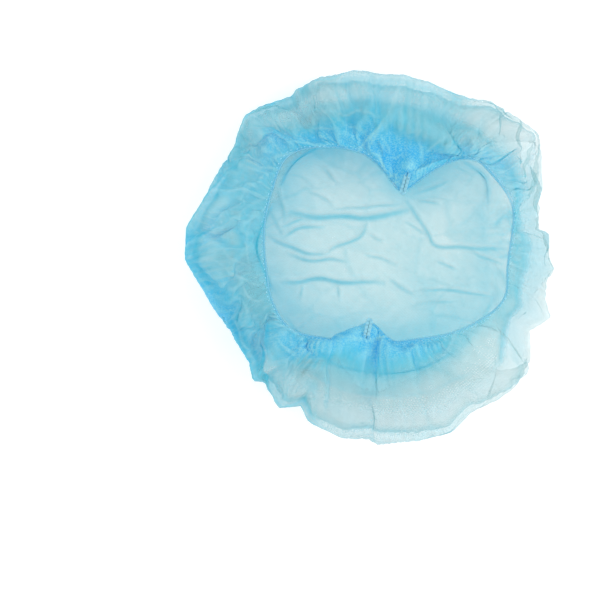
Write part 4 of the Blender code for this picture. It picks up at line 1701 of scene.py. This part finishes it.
def finish_tree(tree, geometry, material):
    """Ends a tree in Realize Instances and Set Material."""
    real = shaped(tree, "RealizeInstances", {"Geometry": geometry})
    painted = shaped(tree, "SetMaterial", {"Geometry": real, "Material": material})
    tree.links.new(painted, tree.nodes.new("NodeGroupOutput").inputs["Geometry"])
    return tree


def set_inputs(modifier, values):
    """Sets a tree's inputs by their sockets' identifiers."""
    for item in modifier.node_group.interface.items_tree:
        if item.name in values and item.in_out == "INPUT":
            modifier[item.identifier] = values[item.name]


def grow(piece, tree, values):
    """Runs a tree on the piece with these values and keeps the result as its mesh."""
    modifier = piece.modifiers.new(tree.name, "NODES")
    modifier.node_group = tree
    set_inputs(modifier, values)
    as_plain_mesh(piece)


def make_weld_tree():
    """The section stands across the strip. Its first and last point make the flat side."""
    inputs = (
        ("Layers", "Int"), ("Thickness", "Float"), ("Width", "Float"), ("Dash Pitch", "Float"),
        ("Dash Length", "Float"), ("Squeeze", "Float"), ("Rib", "Float"), ("Material", "Material"),
    )
    tree, given = geometry_tree("pleated_weld", inputs)
    count = maths(tree, "MULTIPLY_ADD", given["Layers"], 2.0, 1.0)
    line = shaped(tree, "MeshLine", {"Count": count})
    index = tree.nodes.new("GeometryNodeInputIndex").outputs[0]
    last = maths(tree, "SUBTRACT", count, 1.0)
    side = mapped(tree, index, 1.0, maths(tree, "SUBTRACT", last, 1.0), -0.5, 0.5)
    hollow = maths(tree, "SUBTRACT", 1.0, given["Rib"])
    ribbed = mapped(tree, maths(tree, "MODULO", index, 2.0), 0.0, 1.0, hollow, 1.0)
    after_first = maths(tree, "GREATER_THAN", index, 0.5)
    inside = maths(tree, "MULTIPLY", after_first, maths(tree, "LESS_THAN", index, last))
    line = kept_as(tree, line, "side", side)
    line = kept_as(tree, line, "high", maths(tree, "MULTIPLY", ribbed, inside))
    across = maths(tree, "MULTIPLY", named(tree, "side"), given["Thickness"])
    downward = maths(tree, "MULTIPLY", given["Width"], -1.0)
    upward = maths(tree, "MULTIPLY", named(tree, "high"), downward)
    place = add_node(tree, "ShaderNodeCombineXYZ", {"X": across, "Y": upward}).outputs[0]
    section = shaped(tree, "SetPosition", {"Geometry": line, "Position": place})
    profile = shaped(tree, "MeshToCurve", {"Mesh": section})
    profile = shaped(tree, "SetSplineCyclic", {"Geometry": profile, "Cyclic": True})
    path = shaped(tree, "MeshToCurve", {"Mesh": given["Geometry"]})
    path = shaped(tree, "SetCurveNormal", {"Curve": path}, mode="Z_UP")
    sweep = {"Curve": path, "Profile Curve": profile, "Fill Caps": True}
    swept = shaped(tree, "CurveToMesh", sweep)
    beat = maths(tree, "FRACT", maths(tree, "DIVIDE", named(tree, "along"), given["Dash Pitch"]))
    from_middle = maths(tree, "ABSOLUTE", maths(tree, "SUBTRACT", beat, 0.5))
    half_length = maths(tree, "MULTIPLY", given["Dash Length"], 0.5)
    half = maths(tree, "DIVIDE", half_length, given["Dash Pitch"])
    outer, inner = (maths(tree, "MULTIPLY", half, part) for part in DASH_EDGES)
    pressed = kept_as(tree, swept, "pressed", mapped(tree, from_middle, outer, inner))
    inward = maths(tree, "MULTIPLY", named(tree, "side"), given["Thickness"])
    squeezed = maths(tree, "MULTIPLY", named(tree, "pressed"), given["Squeeze"])
    inward = maths(tree, "MULTIPLY", inward, squeezed)
    facing = named(tree, "facing", "FLOAT_VECTOR")
    offset = vectors(tree, "SCALE", facing, Scale=inward)[0]
    pinched = shaped(tree, "SetPosition", {"Geometry": pressed, "Offset": offset})
    return finish_tree(tree, pinched, given["Material"])


# %% The finish of pressed cloth
PRESSED_BLUE = (0.20, 0.64, 0.88, 1.0)
PRESSED_EDGE = (0.46, 0.86, 0.95, 1.0)
DASH_BLUE = (0.10, 0.50, 0.80, 1.0)


def make_pressed_material():
    material, tree, shader = new_material("pressed_cloth")
    place = add_node(tree, "ShaderNodeTexCoord").outputs["Object"]
    web = add_web(tree, place, 0.0012, 0.2, 0.002)
    dash = marked(tree, "pressed")
    light = maths(tree, "MULTIPLY", marked(tree, "edge"), web["Thickness"])
    colour = blended(tree, light, blended(tree, dash, PRESSED_BLUE, DASH_BLUE), PRESSED_EDGE)
    tree.links.new(mapped(tree, dash, 0.0, 1.0, 0.6, 0.35), shader.inputs["Roughness"])
    finish_shader(tree, shader, colour, web["Height"], 0.4, 0.0001, {})
    return material


# %% Make the two welds


def make_weld(weld, weld_place, tree, finish):
    piece = weld_line(weld.name.replace("end_weld", "pleated_weld"))
    values = {
        "Layers": WELD_LAYERS,
        "Thickness": WELD_THICKNESS,
        "Width": WELD_WIDTH,
        "Dash Pitch": DASH_PITCH,
        "Dash Length": DASH_LENGTH,
        "Squeeze": DASH_SQUEEZE,
        "Rib": RIB_DEPTH,
        "Material": finish,
    }
    grow(piece, tree, values)
    foot, *ways = weld_place
    place = places_of(piece.data)
    high = place[:, 2] / WELD_WIDTH
    give(piece.data, "edge", np.clip((high - 1 + RIB_DEPTH) / RIB_DEPTH, 0, 1))
    piece.data.vertices.foreach_set("co", (foot + place @ np.array(ways)).ravel())
    piece.data.update()
    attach(piece, BODY)
    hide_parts(weld.name)
    return piece


weld_tree = make_weld_tree()
pressed_finish = make_pressed_material()
welds = [
    make_weld(weld, weld_place, weld_tree, pressed_finish)
    for weld, weld_place in zip(WELDS, weld_frames)
]
for piece, weld in zip(welds, WELDS):
    place = places_of(piece.data)
    box = np.array([place.min(axis=0), place.max(axis=0)])
    apart = np.abs(box - np.array(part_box(weld.name))).max()
    print(piece.name, "has", len(piece.data.polygons), "faces")
    print("it keeps within", round(apart / MM, 2), "mm of its box")

# %% [markdown]
# ## The elastics
#
# The two elastics are thin round threads, and their shape in the frame is right already, so they
# only need a finish. A covered elastic is a core with a fine yarn wound round it. A wave texture
# that runs along the thread would need a map, so fine noise in the thread's own space stands for
# the yarn, a little darker between its turns.

# %% The finish of the elastics
THREAD_CYAN = (0.46, 0.80, 0.90, 1.0)
THREAD_SHADE = (0.22, 0.58, 0.78, 1.0)
YARN_TURNS = 2600.0


def make_thread_material():
    material, tree, shader = new_material("elastic_thread")
    place = add_node(tree, "ShaderNodeTexCoord").outputs["Object"]
    yarn = noise_on(tree, place, YARN_TURNS, Detail=2.0)
    colour = blended(tree, mapped(tree, yarn, 0.35, 0.65), THREAD_SHADE, THREAD_CYAN)
    finish_shader(tree, shader, colour, yarn, 0.6, 0.0001, {"Roughness": 0.65})
    return material


thread_finish = make_thread_material()
for name in ("elastic_left", "elastic_right"):
    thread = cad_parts[name]
    thread.data.materials.clear()
    thread.data.materials.append(thread_finish)
print("the elastics have their finish")

# %% [markdown]
# ## The bonds of the hem
#
# The hem is closed over its elastic by a row of small pressed bonds. Each is a flat oval with a
# rounded edge, the same some hundred and seventy times, so it is a job for Geometry Nodes: an oval
# is placed on each point of a line just outside the roll, turned along it and squared to the cloth.

# %% The row of bonds
BOND_PITCH = 0.0031
BOND_LENGTH = 0.0013
BOND_WIDTH = 0.0006
BOND_THICKNESS = 0.00016
BOND_SEGMENTS = 10
BOND_RINGS = 4
BOND_STATION = 3.93


def bond_line():
    """A closed line of edges on the cloth, just outside the rolled hem, with the cloth's normals."""
    normals = normals_of(cap.data)
    place = places_of(cap.data)
    row = np.flatnonzero(np.abs(station - BOND_STATION) < 0.05)
    row = row[np.argsort(share[row])]
    count = int(HEM_LENGTH / BOND_PITCH)
    picked = row[np.searchsorted(share[row], (np.arange(count) + 0.5) / count).clip(0, len(row) - 1)]
    data = bpy.data.meshes.new("hem_bonds")
    points = place[picked] + normals[picked] * BOND_THICKNESS
    data.from_pydata(points.tolist(), [(k, (k + 1) % count) for k in range(count)], [])
    give(data, "facing", normals[picked])
    give(data, "ahead", np.roll(points, -1, axis=0) - np.roll(points, 1, axis=0))
    return add_object("hem_bonds", data)


def turned_to(tree, axis, inputs, **settings):
    """A rotation that points an axis along a vector."""
    return add_node(tree, "FunctionNodeAlignRotationToVector", inputs, axis=axis, **settings).outputs[0]


def make_bond_tree():
    inputs = (
        ("Length", "Float"), ("Width", "Float"), ("Thickness", "Float"), ("Segments", "Int"),
        ("Material", "Material"),
    )
    tree, given = geometry_tree("bonds", inputs)
    round_ball = {"Segments": given["Segments"], "Rings": BOND_RINGS, "Radius": 0.5}
    ball = shaped(tree, "MeshUVSphere", round_ball)
    sides = {"X": given["Length"], "Y": given["Width"], "Z": given["Thickness"]}
    size = add_node(tree, "ShaderNodeCombineXYZ", sides).outputs[0]
    facing, ahead = (named(tree, name, "FLOAT_VECTOR") for name in ("facing", "ahead"))
    upright = turned_to(tree, "Z", {"Vector": facing})
    turned = turned_to(tree, "X", {"Rotation": upright, "Vector": ahead}, pivot_axis="Z")
    laid = {"Points": given["Geometry"], "Instance": ball, "Rotation": turned, "Scale": size}
    return finish_tree(tree, shaped(tree, "InstanceOnPoints", laid), given["Material"])


bonds = bond_line()
bond_sizes = {
    "Length": BOND_LENGTH,
    "Width": BOND_WIDTH,
    "Thickness": BOND_THICKNESS,
    "Segments": BOND_SEGMENTS,
    "Material": pressed_finish,
}
grow(bonds, make_bond_tree(), bond_sizes)
give(bonds.data, "edge", np.full(len(bonds.data.vertices), 0.5))
give(bonds.data, "pressed", np.zeros(len(bonds.data.vertices)))
bonds.data.shade_smooth()
print("the hem's bonds have", len(bonds.data.polygons), "faces")

# %% [markdown]
# ## The floor and the light
#
# The cap lies on plain white board. Two wide lamps overhead and an even sky give the soft light of
# a product picture, with a slightly stronger side so that the folds still show.

# %% Make the floor
FLOOR_SIZE = 6.0
FLOOR_WHITE = (0.85, 0.85, 0.85, 1.0)
FLOOR_DROP = 0.0004
FLOOR_GLOW = 0.36


def make_floor():
    half = FLOOR_SIZE / 2
    corners = [(-half, -half), (half, -half), (half, half), (-half, half)]
    data = bpy.data.meshes.new("floor")
    data.from_pydata([(x, y, -FLOOR_DROP) for x, y in corners], [], [(0, 1, 2, 3)])
    floor = add_object("floor", data)
    material, tree, shader = new_material("white_board")
    shader.inputs["Base Color"].default_value = FLOOR_WHITE
    shader.inputs["Roughness"].default_value = 0.85
    shader.inputs["Emission Color"].default_value = (1, 1, 1, 1)
    shader.inputs["Emission Strength"].default_value = FLOOR_GLOW
    data.materials.append(material)
    return floor


floor = make_floor()

# %% Hang the lamps
Lamp = namedtuple("Lamp", "name place size watts")
LAMPS = (
    Lamp("key", (1.5, -0.1, 1.5), 1.0, 9),
    Lamp("fill", (-0.9, 0.6, 1.9), 1.6, 4),
)
SKY_LIGHT = 0.80


def hang_lamp(lamp):
    data = bpy.data.lights.new(lamp.name, "AREA")
    data.shape = "SQUARE"
    data.size = lamp.size
    data.energy = lamp.watts
    thing = add_object(lamp.name, data)
    thing.location = lamp.place
    thing.rotation_euler = (-Vector(lamp.place)).to_track_quat("-Z", "Y").to_euler()
    return thing


def light_the_sky():
    world = bpy.data.worlds.new("sky")
    world.use_nodes = True
    background = world.node_tree.nodes["Background"]
    background.inputs["Color"].default_value = (1, 1, 1, 1)
    background.inputs["Strength"].default_value = SKY_LIGHT
    bpy.context.scene.world = world


for lamp in LAMPS:
    hang_lamp(lamp)
light_the_sky()
bpy.context.scene.view_settings.view_transform = "Standard"
print("lamps:", [lamp.name for lamp in LAMPS])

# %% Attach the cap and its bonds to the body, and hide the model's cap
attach(cap, BODY)
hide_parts("cap_body")
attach(bonds, BODY)
